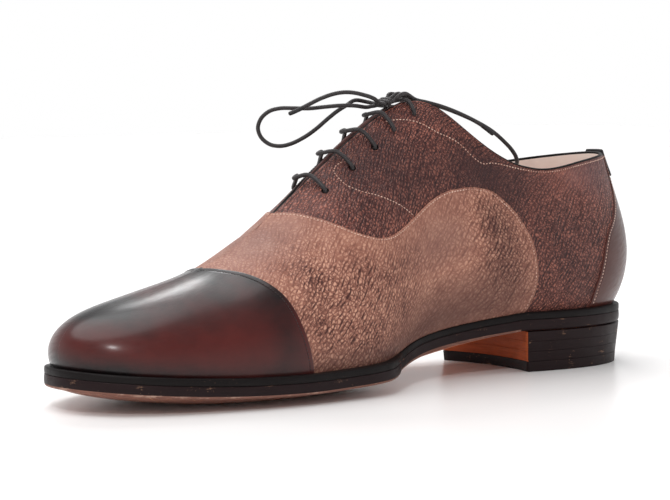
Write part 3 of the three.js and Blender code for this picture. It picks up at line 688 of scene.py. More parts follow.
def make_strip(materials):
    seam = [(number, share * STRIP_TOP) for number, share in STRIP_SEAM]
    panel = panel_numbers(seam, at_back, 112, 34, (1, 0))
    below = (STRIP_TOP - panel[0][..., 1]) * height_at(HEEL)
    fall = -1.2 * np.exp(-below / 0.25)
    return make_panel("heel_strip", materials, panel, VAMP_OUT, strip_tones, 1.9, fall)


def both_sides(rows):
    """Spots of the inside, and the same ones on the outside."""
    return rows + [(SECTIONS - at, *rest) for at, *rest in rows]


# Where the leather is darker, or under 0 where a grey sheen is painted into its colour, and where its grain
# stands out. Columns: section number, share, spread around and up in mm, and by how much.
QUARTER_DARK_AND_SHEEN = both_sides([
    (8.3, 0.85, 26, 26, 0.7), (11.6, 0.62, 24, 22, 0.6), (10, 0.6, 30, 14, 0.35),
    # The spot under 0 is painted grey sheen near the top of the back.
    (12.3, 0.86, 26, 12, 0.5), (13.3, 0.35, 26, 34, 0.35), (14.3, 0.9, 24, 12, -0.45),
])
QUARTER_SMOOTH = both_sides([(13.9, 0.95, 26, 14, 0.6), (6.6, 0.8, 14, 10, 0.4)])
VAMP_DARK_AND_SHEEN = both_sides([
    (4.6, 1, 12, 10, 0.2), (11.5, 0.38, 15, 24, 0.42), (10.3, 0.08, 40, 14, 0.62), (7, 0.02, 60, 6, 0.6),
    # The three spots under 0 are painted grey sheen.
    (9.9, 0.34, 22, 12, -0.5), (5, 0.93, 22, 14, -0.75), (11.4, 0.6, 24, 7, -0.35),
])
VAMP_GRAIN = both_sides([
    (6.4, 0.22, 34, 26, 0.75), (8.3, 0.24, 26, 18, 0.35), (11.5, 0.36, 18, 26, 0.85),
    (5.6, 0.5, 12, 18, 0.35),
])
CAP_DARK = [(0, 0, 90, 7, 0.9), (0, 1, 70, 20, 0.9)] + both_sides([
    (4, 1, 26, 26, 0.9), (4.7, 0.3, 9, 40, 0.5), (0.9, 0.75, 16, 9, 0.35),
])


def vamp_tones(numbers):
    return stack(spots(VAMP_DARK_AND_SHEEN, numbers), np.clip(0.3 + spots(VAMP_GRAIN, numbers), 0, 1))


def quarter_tones(numbers):
    return stack(spots(QUARTER_DARK_AND_SHEEN, numbers), 1 - spots(QUARTER_SMOOTH, numbers))


def cap_tones(numbers):
    return stack(spots(CAP_DARK, numbers), 1.0)


def strip_tones(numbers):
    return stack(0.3 * numbers[..., 1], 1.0)


# The quarters under the panels, closed over the ridge ahead of the throat
QUARTER_FRONT = 4.6
RIM = QUARTER / 2
HOLE_KEEP = 2.5  # the grid is left out this near an eyelet's centre, and a round patch covers it


def quarter_columns():
    """Section numbers about a millimetre apart."""
    wanted = np.linspace(QUARTER_FRONT, SECTIONS - QUARTER_FRONT, 3000)
    length = run_along(surface(stack(wanted, 0.8)))
    return np.interp(np.linspace(0, length[-1], 470), length, wanted)


EYELETS = [np.array([number, share]) for row, share, _ in EYELET_ROWS for number in (row, SECTIONS - row)]


def away_from_eyelets(points, distance):
    """True for the quads of a grid that don't lie over an eyelet."""
    middle = (points[:-1, :-1] + points[1:, 1:] + points[:-1, 1:] + points[1:, :-1]) / 4
    apart = [np.linalg.norm(middle - offset(centre, distance), axis=-1) for centre in EYELETS]
    return np.min(apart, axis=0) > HOLE_KEEP


PATCH_RINGS = [  # radius and height in mm
    (3.7, -0.1), (3.3, 0.01), (2.6, 0.03), (2, 0.02), (1.65, -0.03), (1.48, -0.14), (1.4, -0.35), (1.4, -1),
]


def round_patch(build, centre, face, direction, tones):
    """A ring of leather round an eyelet, with the wall of its hole in the edge's colour."""
    turn = np.linspace(0, 2 * math.pi, 25)[:, None]
    along = unit(rates(centre)[0])
    up = unit(np.cross(normal(centre), along))
    circle = np.cos(turn) * along + np.sin(turn) * up
    numbers = np.array([centre + to_numbers(centre, radius * circle) for radius, _ in PATCH_RINGS])
    heights = np.array([height for _, height in PATCH_RINGS])[:, None]
    points = offset(numbers, face + direction * heights)
    slots = np.zeros((len(points) - 1, len(turn) - 1), int)
    slots[-3:] = 1
    build.grid(points, leather_uv(numbers), slots, tones and tones(numbers), direction > 0)


def open_edge(numbers):
    """Where the top is open, from 0 to 1, and the share at which the leathers end there."""
    open_top = step_between(from_toe_of(numbers), THROAT, THROAT + 0.1)
    return open_top, 1 - open_top * RIM / height_at(numbers)


def make_quarters(materials):
    numbers = quarter_columns()
    open_top, top = open_edge(numbers)
    levels = np.linspace(0, 1, 88)[:, None]
    grid = stack(numbers[None, :], TUCK + (top[None, :] - TUCK) * levels)
    points = offset(grid, BASE_OUT + spots(FOLDS, grid) * step_between(1 - levels, 0, 0.08))
    build = Builder()
    build.grid(points, leather_uv(grid), 0, quarter_tones(grid), False, away_from_eyelets(points, BASE_OUT))
    for centre in EYELETS:
        round_patch(build, centre, BASE_OUT, 1, quarter_tones)
    rim = stack(numbers, top)
    middle = offset(rim, BASE_OUT - RIM)
    out = normal(rim)
    up = unit(surface(rim) - surface(rim - 0.01 * SHARE_STEP))
    open_top = open_top[:, None]
    around = []
    for turn in np.linspace(0, math.pi, 11):
        bend = (1 + 0.12 * math.sin(turn)) * (math.cos(turn) * out + math.sin(turn) * up)
        around.append(middle + RIM * (bend * open_top + out * (1 - open_top)))
    around[0] = points[-1]
    keep = np.tile((open_top[:-1, 0] + open_top[1:, 0]) > 1, (10, 1))
    uv = leather_uv(np.tile(rim, (11, 1, 1)))
    build.grid(np.array(around), uv, 1, None, False, keep)
    return build.make("quarters", materials)


def make_lining(materials):
    front = np.linspace(0, QUARTER_FRONT, 40)[:-1]
    numbers = np.concatenate([front, quarter_columns(), SECTIONS - front[::-1]])
    shares = 0.01 + (open_edge(numbers)[1][None, :] - 0.01) * np.linspace(0, 1, 60)[:, None]
    grid = stack(numbers[None, :], shares)
    points = offset(grid, LINING_IN)
    build = Builder()
    build.grid(points, leather_uv(grid), 0, None, True, away_from_eyelets(points, LINING_IN))
    for centre in EYELETS:
        round_patch(build, centre, LINING_IN, -1, None)
    return build.make("lining", materials)


# Stitches: small lozenges of thread that dip at both ends
STITCH_SIDES = 6
PALE_STITCH = (1.5, 1.05, 0.55, 0)  # pitch, length and width in mm, material
DARK_STITCH = (1.3, 1, 0.45, 1)
SLIT_STITCH = (1.3, 1, 0.4, 1)
STITCH_ROWS = [  # seam, inset, side, height of the face, stitch
    (VAMP_SEAM, 1.2, (-1, 0), VAMP_OUT, PALE_STITCH),
    (STRIP_SEAM, 1.9, (1, 0), VAMP_OUT + 0.02, PALE_STITCH),
    (TOP_LINE_SEAM, 0, None, BASE_OUT + 0.08, PALE_STITCH),
    (HOOK_SEAM, 0, None, BASE_OUT + 0.08, PALE_STITCH),
    (CAP_SEAM, 2.1, (-1, 0), CAP_OUT, DARK_STITCH),
]
RIDGE_STEPS = np.array([-6, -4.5, -3, -2, -1.3, -0.8, -0.4, 0, 0.4, 0.8, 1.3, 2, 3, 4.5, 6])
RIDGE_ROWS = 170


def lozenge():
    turn = np.arange(STITCH_SIDES) * 2 * math.pi / STITCH_SIDES
    points = [[-0.5, 0, -0.16]]
    for at, size in ((-0.3, 0.8), (0, 1), (0.3, 0.8)):
        points += [[at, size * math.cos(a) / 2, size * math.sin(a) * 0.4 - 0.9 * at * at] for a in turn]
    points.append([0.5, 0, -0.16])
    faces = []
    for k in range(STITCH_SIDES):
        after = (k + 1) % STITCH_SIDES
        faces.append([0, 1 + after, 1 + k])
        for a in (1, 1 + STITCH_SIDES):
            b = a + STITCH_SIDES
            faces += [[a + k, a + after, b + after], [a + k, b + after, b + k]]
        faces.append([b + k, b + after, b + STITCH_SIDES])
    return np.array(points), faces


STITCH_POINTS, STITCH_FACES = lozenge()


def add_stitches(build, points, normals, pitch, length, width, slot):
    """A row of stitches along a line of points."""
    along = run_along(points)
    count = max(int(along[-1] / pitch), 1)
    at = (np.arange(count) + 0.5) * along[-1] / count
    centre, up = at_lengths(points, along, at), unit(at_lengths(normals, along, at))
    run = unit(at_lengths(points, along, at + 0.3) - at_lengths(points, along, at - 0.3))
    side = unit(np.cross(up, run))
    shape = STITCH_POINTS * [length, width, width]
    for k in range(count):
        build.add(centre[k] + shape @ [run[k], side[k], up[k]], STITCH_FACES, None, slot)


def seam_line(seam, inset, side, height):
    """A line that runs inside a seam's edge, on both sides of the shoe."""
    place = seam_path(seam, 260)
    if side:
        place = place + across(place, side) * inset
    place = place[(place[:, 1] > 0.012) & (place[:, 1] < 0.985)]
    for numbers in (place, mirrored(place)):
        yield offset(numbers, height + spots(FOLDS, numbers)), normal(numbers)


def slit_lines(below, height):
    """A line down each side of the slit, some way under the top."""
    front = THROAT + 0.55
    for numbers in (np.linspace(front, 12, 400), np.linspace(20, SECTIONS - front, 400)):
        line = stack(numbers, 1 - below / height_at(numbers))
        yield offset(line, height), normal(line)


def make_stitches(materials):
    build = Builder()
    for *row, stitch in STITCH_ROWS:
        for points, normals in seam_line(*row):
            add_stitches(build, points, normals, *stitch)
    for points, normals in slit_lines(2.4, BASE_OUT + 0.02):
        add_stitches(build, points, normals, *SLIT_STITCH)
    return build.make("stitches", materials, weld=0)


def make_seam_ridges(materials):
    """Low swellings on both sides of the seams that are only sewn through the quarters."""
    build = Builder()
    rise = 0.2 * np.exp(-(RIDGE_STEPS / 3.4) ** 2) - 0.16 * np.exp(-(RIDGE_STEPS / 0.45) ** 2) - 0.012
    rise[[0, -1]] = -0.05
    count = np.arange(RIDGE_ROWS)
    ends = np.minimum(count, count[::-1])[:, None] / 8
    height = BASE_OUT + rise[None, :] * np.clip(ends, 0, 1) - 0.05 * (ends < 0.1)
    for seam in (TOP_LINE_SEAM, HOOK_SEAM):
        path = seam_path(seam, RIDGE_ROWS)
        grid = path[:, None, :] + across(path, (0, 1))[:, None, :] * RIDGE_STEPS[None, :, None]
        for numbers, flip in ((grid, True), (mirrored(grid), False)):
            lift = height + spots(FOLDS, numbers)
            under_top = stack(numbers[..., 0], np.minimum(numbers[..., 1], 0.985))
            build.grid(offset(under_top, lift), leather_uv(numbers), 0, quarter_tones(numbers), flip)
    return build.make("seam_ridges", materials)


# Tongue and pull
TONGUE_START = 5.4
TONGUE_END = 10.2
TONGUE_SIDES = np.array([0.8, 0.86, 0.92, 0.97])
TONGUE_OVER = 4.5
TONGUE_ROWS = 70
TONGUE_COLUMNS = 49
BULGE = [  # section, rise of the tongue's middle in mm
    [5.4, 0], [6.6, 2.6], [7.2, 3.5], [9, 3.3], [9.8, 2.2], [10.2, 1.9],
]


def border(points):
    return np.vstack([points[0, :-1], points[:-1, -1], points[-1, :0:-1], points[:0:-1, 0], points[:1, 0]])


def closed_slab(upper, lower, uv, rim_slot):
    """Two faces with a rounded rim between them."""
    build = Builder().grid(upper, uv).grid(lower, uv, 0, None, True)
    top, under = border(upper), border(lower)
    both = (upper + lower) / 2
    inner = border(both)
    thick = np.linalg.norm(top - under, axis=1, keepdims=True)
    out = unit(np.cross(unit(inner - np.roll(inner, 1, axis=0)), unit(top - under)))
    out *= np.sign(((inner - both[1:-1, 1:-1].mean(axis=(0, 1))) * out).sum())
    rows = []
    for turn in np.linspace(0, math.pi, 7):
        mix = (1 - math.cos(turn)) / 2
        rows.append(top + (under - top) * mix + out * thick * 0.45 * math.sin(turn))
    return build.grid(np.array(rows), None, rim_slot, None, True)


def tongue_face(depth):
    rows = np.linspace(TONGUE_START, TONGUE_END, TONGUE_ROWS)
    sides = np.append(TONGUE_SIDES, 1)[None, :]
    slit = np.linalg.norm(top_of(rows) - top_of(SECTIONS - rows), axis=1)
    rise = depth + np.minimum(along_table(BULGE, rows, 1), 0.75 * slit)
    near, far = (stack(number[:, None], sides) for number in (rows, SECTIONS - rows))
    middle = (offset(near[:, -1], rise) + offset(far[:, -1], rise)) / 2
    control = np.concatenate([offset(near, depth), middle[:, None], offset(far, depth)[:, ::-1]], axis=1)
    fine = np.array([even(spline(line, 8), TONGUE_COLUMNS) for line in control])
    onward = unit(fine[-1] - fine[-9])
    extra = [fine[-1] + onward * step for step in np.linspace(0, TONGUE_OVER, 9)[1:]]
    return np.concatenate([fine, np.array(extra)])


def make_tongue(materials):
    under = LINING_IN - 2 * GAP
    upper, lower = tongue_face(under), tongue_face(under - TONGUE)
    along, sideways = np.arange(len(upper))[:, None] * 1.3, np.arange(TONGUE_COLUMNS)[None, :] * 0.9
    return closed_slab(upper, lower, stack(along, sideways) / 100, 1).make("tongue_leather", materials)


PULL_HALF_WIDTH = 0.3
PULL_LENGTH = 0.17
PULL_THICKNESS = 1.2
PULL_STAND_OFF = 1.3


def make_pull(materials):
    t, sides = np.linspace(0, 1, 34)[:, None], np.linspace(-1, 1, 25)[None, :]
    numbers = stack(HEEL + sides * PULL_HALF_WIDTH, 1 - t * PULL_LENGTH)
    lower = VAMP_OUT + GAP + PULL_STAND_OFF * t + 0.25 * np.sin(t * math.pi) * (1 - sides**2)
    upper, lower = offset(numbers, lower + PULL_THICKNESS), offset(numbers, lower)
    return closed_slab(upper, lower, stack(t * 14, sides * 6) / 100, 0).make("heel_pull", materials)


# Cords
TUBE_SIDES = 12
TUBE_END = [(1, 0.02), (0.75, 0.66), (0.4, 0.92)]  # share of the end's length left, and of the radius


def tube(build, points, radius, slot=0, taper=0.9):
    """A round lace along points in mm, with rounded ends as long as a share of its radius."""
    points = np.asarray(points, float)
    run = unit(np.gradient(points, axis=0))
    side = unit(np.cross(run[0], [0.3, 0.1, 1]))
    along = run_along(points)
    turn = np.linspace(0, 2 * math.pi, TUBE_SIDES + 1)
    rings, lengths = [], []

    def ring(place, direction, scale, length):
        up = np.cross(direction, side)
        rings.append(place + radius * scale * (np.cos(turn)[:, None] * side + np.sin(turn)[:, None] * up))
        lengths.append(length)

    for left, scale in TUBE_END:
        ring(points[0] + run[0] * (1 - left) * taper * radius, run[0], scale, -left * taper)
    for k, place in enumerate(points):
        side = unit(side - run[k] * (side @ run[k]))
        if min(along[k], along[-1] - along[k]) > taper * radius:
            ring(place, run[k], 1, along[k])
    for left, scale in TUBE_END[::-1]:
        ring(points[-1] - run[-1] * (1 - left) * taper * radius, run[-1], scale, along[-1] + left * taper)
    uv = stack(turn[None, :] / (2 * math.pi), np.array(lengths)[:, None])
    build.grid(np.array(rings), uv, slot, None, True)


# The bow, from the knot outwards, in metres
BOW = {
    "lace_loop_front": [
        (0.1044, -0.003, 0.1185), (0.1065, -0.0041, 0.1181), (0.1124, -0.005, 0.1188),
        (0.1175, -0.008, 0.1189), (0.1225, -0.013, 0.1183), (0.1272, -0.018, 0.1176),
        (0.132, -0.0228, 0.1177), (0.136, -0.0272, 0.1176), (0.1392, -0.0306, 0.1163),
        (0.1416, -0.0332, 0.1132), (0.1425, -0.0343, 0.1091), (0.1415, -0.0334, 0.1051),
        (0.1388, -0.031, 0.1021), (0.1356, -0.028, 0.1013), (0.132, -0.025, 0.1022),
        (0.1272, -0.0209, 0.1053), (0.1236, -0.017, 0.1091), (0.1204, -0.0135, 0.1132),
        (0.117, -0.0109, 0.1166), (0.1136, -0.0092, 0.1189), (0.1096, -0.0086, 0.121),
        (0.1037, -0.0075, 0.1203), (0.1024, -0.0053, 0.1198),
    ],
    "lace_end_front": [
        (0.104, 0.0006, 0.1203), (0.1054, 0.0004, 0.1215), (0.1073, -0.0004, 0.1225),
        (0.11, -0.0022, 0.1235), (0.1134, -0.0044, 0.1244), (0.1172, -0.0065, 0.1246),
        (0.1213, -0.0085, 0.1239), (0.1263, -0.011, 0.122), (0.1314, -0.0137, 0.1192),
        (0.1354, -0.0156, 0.117), (0.139, -0.0174, 0.1153),
    ],
    "lace_loop_rear": [
        (0.0964, 0.0018, 0.1228), (0.095, 0.0017, 0.1236), (0.0926, 0.0014, 0.1238),
        (0.0895, 0.0015, 0.1225), (0.0845, 0.0019, 0.1211), (0.08, 0.0026, 0.1202),
        (0.074, 0.0038, 0.1186), (0.068, 0.0051, 0.1168), (0.06, 0.0074, 0.1137),
        (0.053, 0.0096, 0.1104), (0.0465, 0.0113, 0.1066), (0.0412, 0.0125, 0.1024),
        (0.0372, 0.0134, 0.0985), (0.035, 0.0139, 0.0952), (0.0346, 0.014, 0.0926),
        (0.036, 0.0134, 0.0914), (0.0385, 0.012, 0.092), (0.0423, 0.01, 0.0938),
        (0.0466, 0.0076, 0.0964), (0.053, 0.0046, 0.1012), (0.061, 0.0012, 0.1073),
        (0.07, -0.0014, 0.1132), (0.079, -0.0024, 0.118), (0.0855, -0.0026, 0.1209),
        (0.0926, -0.0024, 0.1236), (0.0949, -0.0028, 0.1235), (0.0963, -0.0022, 0.1222),
    ],
    "lace_end_rear": [
        (0.0979, 0.0047, 0.1215), (0.0967, 0.006, 0.1231), (0.0921, 0.0049, 0.1239),
        (0.0865, 0.0052, 0.1212), (0.081, 0.0062, 0.12), (0.074, 0.0086, 0.118),
        (0.0665, 0.0114, 0.115), (0.058, 0.0144, 0.1107), (0.0513, 0.017, 0.1056),
    ],
}
KNOT_CENTRE = np.array([0.1005, 0, 0.1202])


def from_heel(points):
    """Points of the frame, in metres, as millimetres from the back of the heel."""
    return np.asarray(points) / MM + [HEEL_CENTRE, 0, 0]


def make_cord(name, materials):
    path = spline(BOW[name], 6)
    length = float(run_along(path)[-1])
    fine = from_heel(even(spline(BOW[name], 24), int(length / MM / 0.7)))
    build = Builder()
    tube(build, fine, LACE / 2)
    is_end = "end" in name
    if is_end:
        tube(build, fine[-12:], LACE / 2 * 1.06, 1)
    cord = build.make(f"{name}_cord", materials, weld=0)
    stands_for(cord, "lace", name)
    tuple(BOW[name][0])


KNOT_TILT = 0.42
KNOT_BANDS = [  # ahead of the middle, skew, half width, half height, in mm
    (-1.7, 0.5, 3.2, 0.95), (0.1, 0.9, 4.1, 1.15), (1.9, 0.4, 3.4, 0.9),
]


def make_knot(materials):
    """Three bands round the crossing, and the starts of the loops and ends inside them."""
    centre = from_heel(KNOT_CENTRE)
    forward = np.array([math.cos(KNOT_TILT), 0, -math.sin(KNOT_TILT)])
    up = np.array([math.sin(KNOT_TILT), 0, math.cos(KNOT_TILT)])
    side = np.array([0, 1.0, 0])
    turn = np.linspace(0, 2 * math.pi, 49)[:, None]
    build = Builder()
    for ahead, skew, wide, tall in KNOT_BANDS:
        run = forward * (ahead + skew * np.sin(turn))
        band = centre + run + side * (wide * np.cos(turn)) + up * (tall * np.sin(turn))
        tube(build, band, LACE / 2, taper=0)
    for name, route in BOW.items():
        for end, after in [(0, 1)] if "end" in name else [(0, 1), (-1, -2)]:
            port, onward = from_heel(route[end]), from_heel(route[after])
            ahead = unit(onward - port)
            start = centre + 0.25 * (port - centre) - up * 0.3
            tube(build, spline([start, port - ahead * 1.4, port, port + ahead * 0.9], 6), LACE / 2 * 0.995)
    return build.make("knot_laces", materials, weld=0)


IN_EYELET = [(-0.009, -2.1), (-0.004, -1.2), (0.006, 0.1)]  # share from the eyelet, distance out in mm


def bar_side(row, share, bow, inside):
    """Half a crossing, from inside the eyelet to the middle of the slit."""
    rest = BASE_OUT + GAP + LACE / 2
    number = row if inside else SECTIONS - row
    points = [offset(stack(number, share + step), depth) for step, depth in IN_EYELET]
    for way, rise, ahead in BAR_COURSE:
        at = row - ahead * (1 if inside else BAR_SAG)
        number = at if inside else SECTIONS - at
        points.append(offset(stack(number, share + (1 - share) * way), rest + rise * bow))
    return points


def make_lace_bars(materials):
    build = Builder()
    for eyelet in EYELET_ROWS:
        fine = spline(bar_side(*eyelet, True) + bar_side(*eyelet, False)[::-1], 10)
        tube(build, even(fine, 60), LACE / 2)
    return build.make("lace_crossings", materials, weld=0)


# Materials
class Shader:
    """A material's nodes, written as short calls. A value is a number, a colour or a socket.

    Lengths in the texture are metres by place, and tenths of a metre by UV."""

    def __init__(self, name):
        self.material = bpy.data.materials.new(name)
        self.material.use_nodes = True
        self.tree = self.material.node_tree
        self.surface = self.tree.nodes["Principled BSDF"]

    def put(self, socket, value):
        if isinstance(value, str):
            value = rgb(value)
        if isinstance(value, bpy.types.NodeSocket):
            self.tree.links.new(value, socket)
        elif socket.type == "RGBA" and len(value) == 3:
            socket.default_value = (*value, 1)
        else:
            socket.default_value = value

    def node(self, kind, inputs, out=0, **settings):
        node = self.tree.nodes.new("ShaderNode" + kind)
        for key, value in settings.items():
            setattr(node, key, value)
        for key, value in inputs.items():
            self.put(node.inputs[key], value)
        return node.outputs[out]

    def math(self, operation, *values):
        return self.node("Math", dict(enumerate(values)), operation=operation)

    def add(self, first, second):
        return self.math("ADD", first, second)

    def times(self, first, second):
        return self.math("MULTIPLY", first, second)

    def wave(self, phase):
        """From 0 in the middle of each unit of the phase to 0.5 at its ends."""
        return self.math("ABSOLUTE", self.math("SUBTRACT", self.math("FRACT", phase), 0.5))

    def mix(self, factor, first, second):
        return self.node("Mix", {"Factor": factor, 6: first, 7: second}, 2, data_type="RGBA")

    def spread(self, value, low, high, to_low=0.0, to_high=1.0):
        inputs = {"Value": value, "From Min": low, "From Max": high, "To Min": to_low, "To Max": to_high}
        return self.node("MapRange", inputs, interpolation_type="SMOOTHSTEP")

    def ramp(self, value, *stops):
        node = self.tree.nodes.new("ShaderNodeValToRGB")
        self.put(node.inputs[0], value)
        elements = node.color_ramp.elements
        while len(elements) < len(stops):
            elements.new(0.5)
        for element, (at, color) in zip(elements, stops):
            element.position = at
            element.color = (*(rgb(color) if isinstance(color, str) else color), 1)
        return node.outputs[0]

    def uv(self):
        return self.node("UVMap", {}, uv_map="UVMap")

    def place(self):
        return self.node("TexCoord", {}, "Object")

    def attribute(self, name):
        return self.node("Attribute", {}, "Fac", attribute_name=name)

    def parts_of(self, vector):
        return self.node("SeparateXYZ", {"Vector": vector}).node.outputs

    def stretched(self, vector, turn, size):
        rotation = (0, 0, math.radians(turn))
        inputs = {"Vector": vector, "Rotation": rotation, "Scale": size}
        return self.node("Mapping", inputs, vector_type="TEXTURE")

    def noise(self, vector, scale, detail=3.0, roughness=0.5):
        inputs = {"Vector": vector, "Scale": scale, "Detail": detail, "Roughness": roughness}
        return self.node("TexNoise", inputs, "Fac")

    def cells(self, vector, scale=1.0, feature="DISTANCE_TO_EDGE"):
        inputs = {"Vector": vector, "Scale": scale}
        return self.node("TexVoronoi", inputs, "Distance", feature=feature)

    def bump(self, height, distance, strength=1.0, below=None):
        inputs = {"Height": height, "Distance": distance, "Strength": strength}
        if below is not None:
            inputs["Normal"] = below
        return self.node("Bump", inputs)

    def finish(self, **inputs):
        for key, value in inputs.items():
            self.put(self.surface.inputs[key.replace("_", " ")], value)
        return self.material


def rgb(code, gain=1.0):
    """A colour from its hex code, as linear light, made lighter or darker by a gain."""
    parts = [int(code[k:k + 2], 16) / 255 for k in (1, 3, 5)]
    return tuple(min(gain * (((c + 0.055) / 1.055) ** 2.4 if c > 0.04 else c / 12.92), 1) for c in parts)


def hatch_grain(name, valley, middle, ridge, dark, painted_sheen, roughness, pitch):
    """Pebbled leather boarded into fine wrinkles. Tone above 0 darkens it, and under 0 blends in a painted
    grey sheen.
    """
    s = Shader(name)
    uv, tone, grain = s.uv(), s.attribute("tone"), s.attribute("grain")
    wander = s.node("TexNoise", {"Vector": uv, "Scale": 9.0, "Detail": 3.0, "Roughness": 0.6}, "Color")
    wander = s.node("VectorMath", {0: wander, "Scale": 0.045}, operation="SCALE")
    moved = s.node("VectorMath", {0: uv, 1: wander}, operation="ADD")

    def furrows(turn, step, seed, depth):
        turned = s.stretched(moved, turn, (1, step, 1))
        jog = s.noise(s.stretched(uv, turn, (0.05, 0.014, 1)), seed, 2.0)
        wave = s.wave(s.add(s.parts_of(turned)[1], s.times(jog, 0.9)))
        broken = s.spread(s.noise(s.stretched(uv, turn, (0.06, 0.02, 1)), seed + 0.4, 2.0), 0.32, 0.66)
        cut = s.times(s.spread(wave, 0.1, 0.44), s.times(broken, depth))
        return s.math("SUBTRACT", 1.0, cut)

    both = s.times(furrows(44, pitch, 1.0, 0.95), furrows(-50, pitch * 0.9, 1.3, 0.35))
    pebble = s.spread(s.cells(s.stretched(moved, 44, (1.5, 1, 1)), 1.4 / pitch), 0.0, 0.3)
    both = s.times(both, s.add(s.times(pebble, 0.7), 0.3))
    patch = s.noise(uv, 7.0, 4.0, 0.62)
    shown = s.add(s.times(both, grain),
                   s.times(s.math("SUBTRACT", 1.0, grain), 0.6))
    shade = s.add(shown, s.times(s.math("SUBTRACT", patch, 0.5), 0.6))
    color = s.ramp(shade, (0.06, valley), (0.42, middle), (0.98, ridge))
    color = s.mix(s.times(s.node("Clamp", {"Value": tone}), 0.85), color, dark)
    # Tone under 0 blends towards a grey colour that stands in for a sheen: painted sheen.
    sheen_amount = s.node("Clamp", {"Value": s.times(tone, -1.0)})
    color = s.mix(s.times(sheen_amount, 0.85), color, painted_sheen)
    rough = s.spread(shade, 0.0, 0.9, roughness + 0.16, roughness - 0.05)
    depth = s.times(both, s.add(s.times(grain, 0.8), 0.2))
    bump = s.bump(depth, 0.0004, 0.9)
    pores = s.bump(s.noise(uv, 420.0, 2.0), 0.00006, 0.5, bump)
    return s.finish(Base_Color=color, Roughness=rough, Normal=pores, Specular_IOR_Level=0.32)


def smooth_leather(name, low, high, roughness, coat):
    """Burnished leather under a wax shine."""
    s = Shader(name)
    uv, tone = s.uv(), s.attribute("tone")
    cloud = s.noise(uv, 7.0, 4.0, 0.6)
    rub = s.noise(s.stretched(uv, 20, (0.06, 0.012, 1)), 1.0, 3.0)
    shade = s.add(tone, s.times(s.math("SUBTRACT", cloud, 0.5), 0.7))
    color = s.ramp(shade, (0.0, low), (0.9, high))
    rough = s.spread(rub, 0.3, 0.75, roughness - 0.05, roughness + 0.1)
    grain = s.cells(uv, 95.0)
    fine = s.bump(s.spread(grain, 0.0, 0.12), 0.00003, 0.25)
    soft = s.bump(s.noise(uv, 14.0, 2.0), 0.0003, 0.2, fine)
    return s.finish(Base_Color=color, Roughness=rough, Normal=soft, Coat_Weight=coat, Coat_Roughness=0.2,
                    Coat_IOR=1.34, Specular_IOR_Level=0.2)


def edge_leather(name, base, worn, rough=0.38, wear=0.62):
    """Dyed and waxed edge, rubbed through in places."""
    s = Shader(name)
    uv = s.place()
    streak = s.noise(s.stretched(uv, 0, (0.012, 0.012, 0.0009)), 1.0, 4.0, 0.65)
    scuff = s.noise(uv, 90.0, 5.0, 0.7)
    amount = s.spread(s.times(scuff, s.add(streak, 0.4)), wear, wear + 0.14)
    color = s.mix(amount, s.ramp(streak, (0.2, base), (0.8, rgb(base, 1.7))), worn)
    flecks = s.times(s.spread(s.noise(uv, 1100.0, 2.0, 0.5), 0.63, 0.72), s.spread(scuff, 0.5, 0.66))
    color = s.mix(s.times(flecks, 0.6), color, worn)
    bump = s.bump(s.add(streak, s.times(scuff, 0.6)), 0.00022, 0.6)
    return s.finish(Base_Color=color, Roughness=s.spread(scuff, 0.2, 0.8, rough - 0.08, rough + 0.18),
                    Normal=bump, Specular_IOR_Level=0.13)


def sole_leather(name):
    s = Shader(name)
    place = s.place()
    cloud = s.noise(place, 28.0, 5.0, 0.62)
    fibre = s.noise(s.stretched(place, 4, (0.03, 0.0012, 0.03)), 1.0, 4.0, 0.6)
    color = s.ramp(cloud, (0.25, "#8e4220"), (0.5, "#b4592b"), (0.75, "#c4703c"))
    color = s.mix(s.spread(fibre, 0.52, 0.72), color, "#7c3a20")
    forward = s.add(s.parts_of(place)[0], s.times(cloud, 0.03))
    color = s.mix(s.spread(forward, 0.115, 0.165, 0.0, 0.85), color, "#94675a")
    scratch = s.noise(s.stretched(place, 35, (0.02, 0.0007, 0.02)), 1.0, 3.0, 0.5)
    color = s.mix(s.spread(scratch, 0.63, 0.7), color, "#d39a70")
    rough = s.spread(cloud, 0.2, 0.8, 0.3, 0.5)
    bump = s.bump(s.add(fibre, s.times(scratch, 0.5)), 0.00014, 0.6)
    return s.finish(Base_Color=color, Roughness=rough, Normal=bump, Coat_Weight=0.2, Coat_Roughness=0.25)


def lining_leather(name, base):
    s = Shader(name)
    uv = s.place()
    cloud = s.noise(uv, 22.0, 5.0, 0.6)
    color = s.ramp(cloud, (0.2, rgb(base, 0.68)), (0.55, base), (0.85, rgb(base, 1.15)))
    pores = s.cells(uv, 900.0, "F1")
    bump = s.bump(s.spread(pores, 0.0, 0.35), 0.00007, 0.5)
    return s.finish(Base_Color=color, Roughness=s.spread(cloud, 0.2, 0.8, 0.5, 0.72), Normal=bump)


def lace_cotton(name, dark, light):
    """Round waxed lace, braided from two sets of strands."""
    s = Shader(name)
    around, along, _ = s.parts_of(s.uv())

    def strands(sign):
        return s.wave(s.add(s.times(along, 1.15), s.times(around, 4.0 * sign)))

    weave = s.math("MAXIMUM", strands(1), strands(-1))
    fuzz = s.noise(s.place(), 900.0, 3.0)
    color = s.mix(s.spread(s.add(weave, s.times(fuzz, 0.2)), 0.3, 0.62), dark, light)
    bump = s.bump(weave, 0.00022, 0.8)
    return s.finish(Base_Color=color, Roughness=0.52, Normal=bump, Sheen_Weight=0.15, Sheen_Roughness=0.4)


def tape(name):
    s = Shader(name)
    length, width, _ = s.parts_of(s.uv())
    rib = s.math("SINE", s.times(length, 780.0))
    cross = s.math("SINE", s.times(width, 1500.0))
    weave = s.add(rib, s.times(cross, 0.4))
    color = s.mix(s.spread(weave, -1.0, 1.2), "#0d0b0c", "#2a2426")
    return s.finish(Base_Color=color, Roughness=0.75, Normal=s.bump(weave, 0.0001, 0.5))


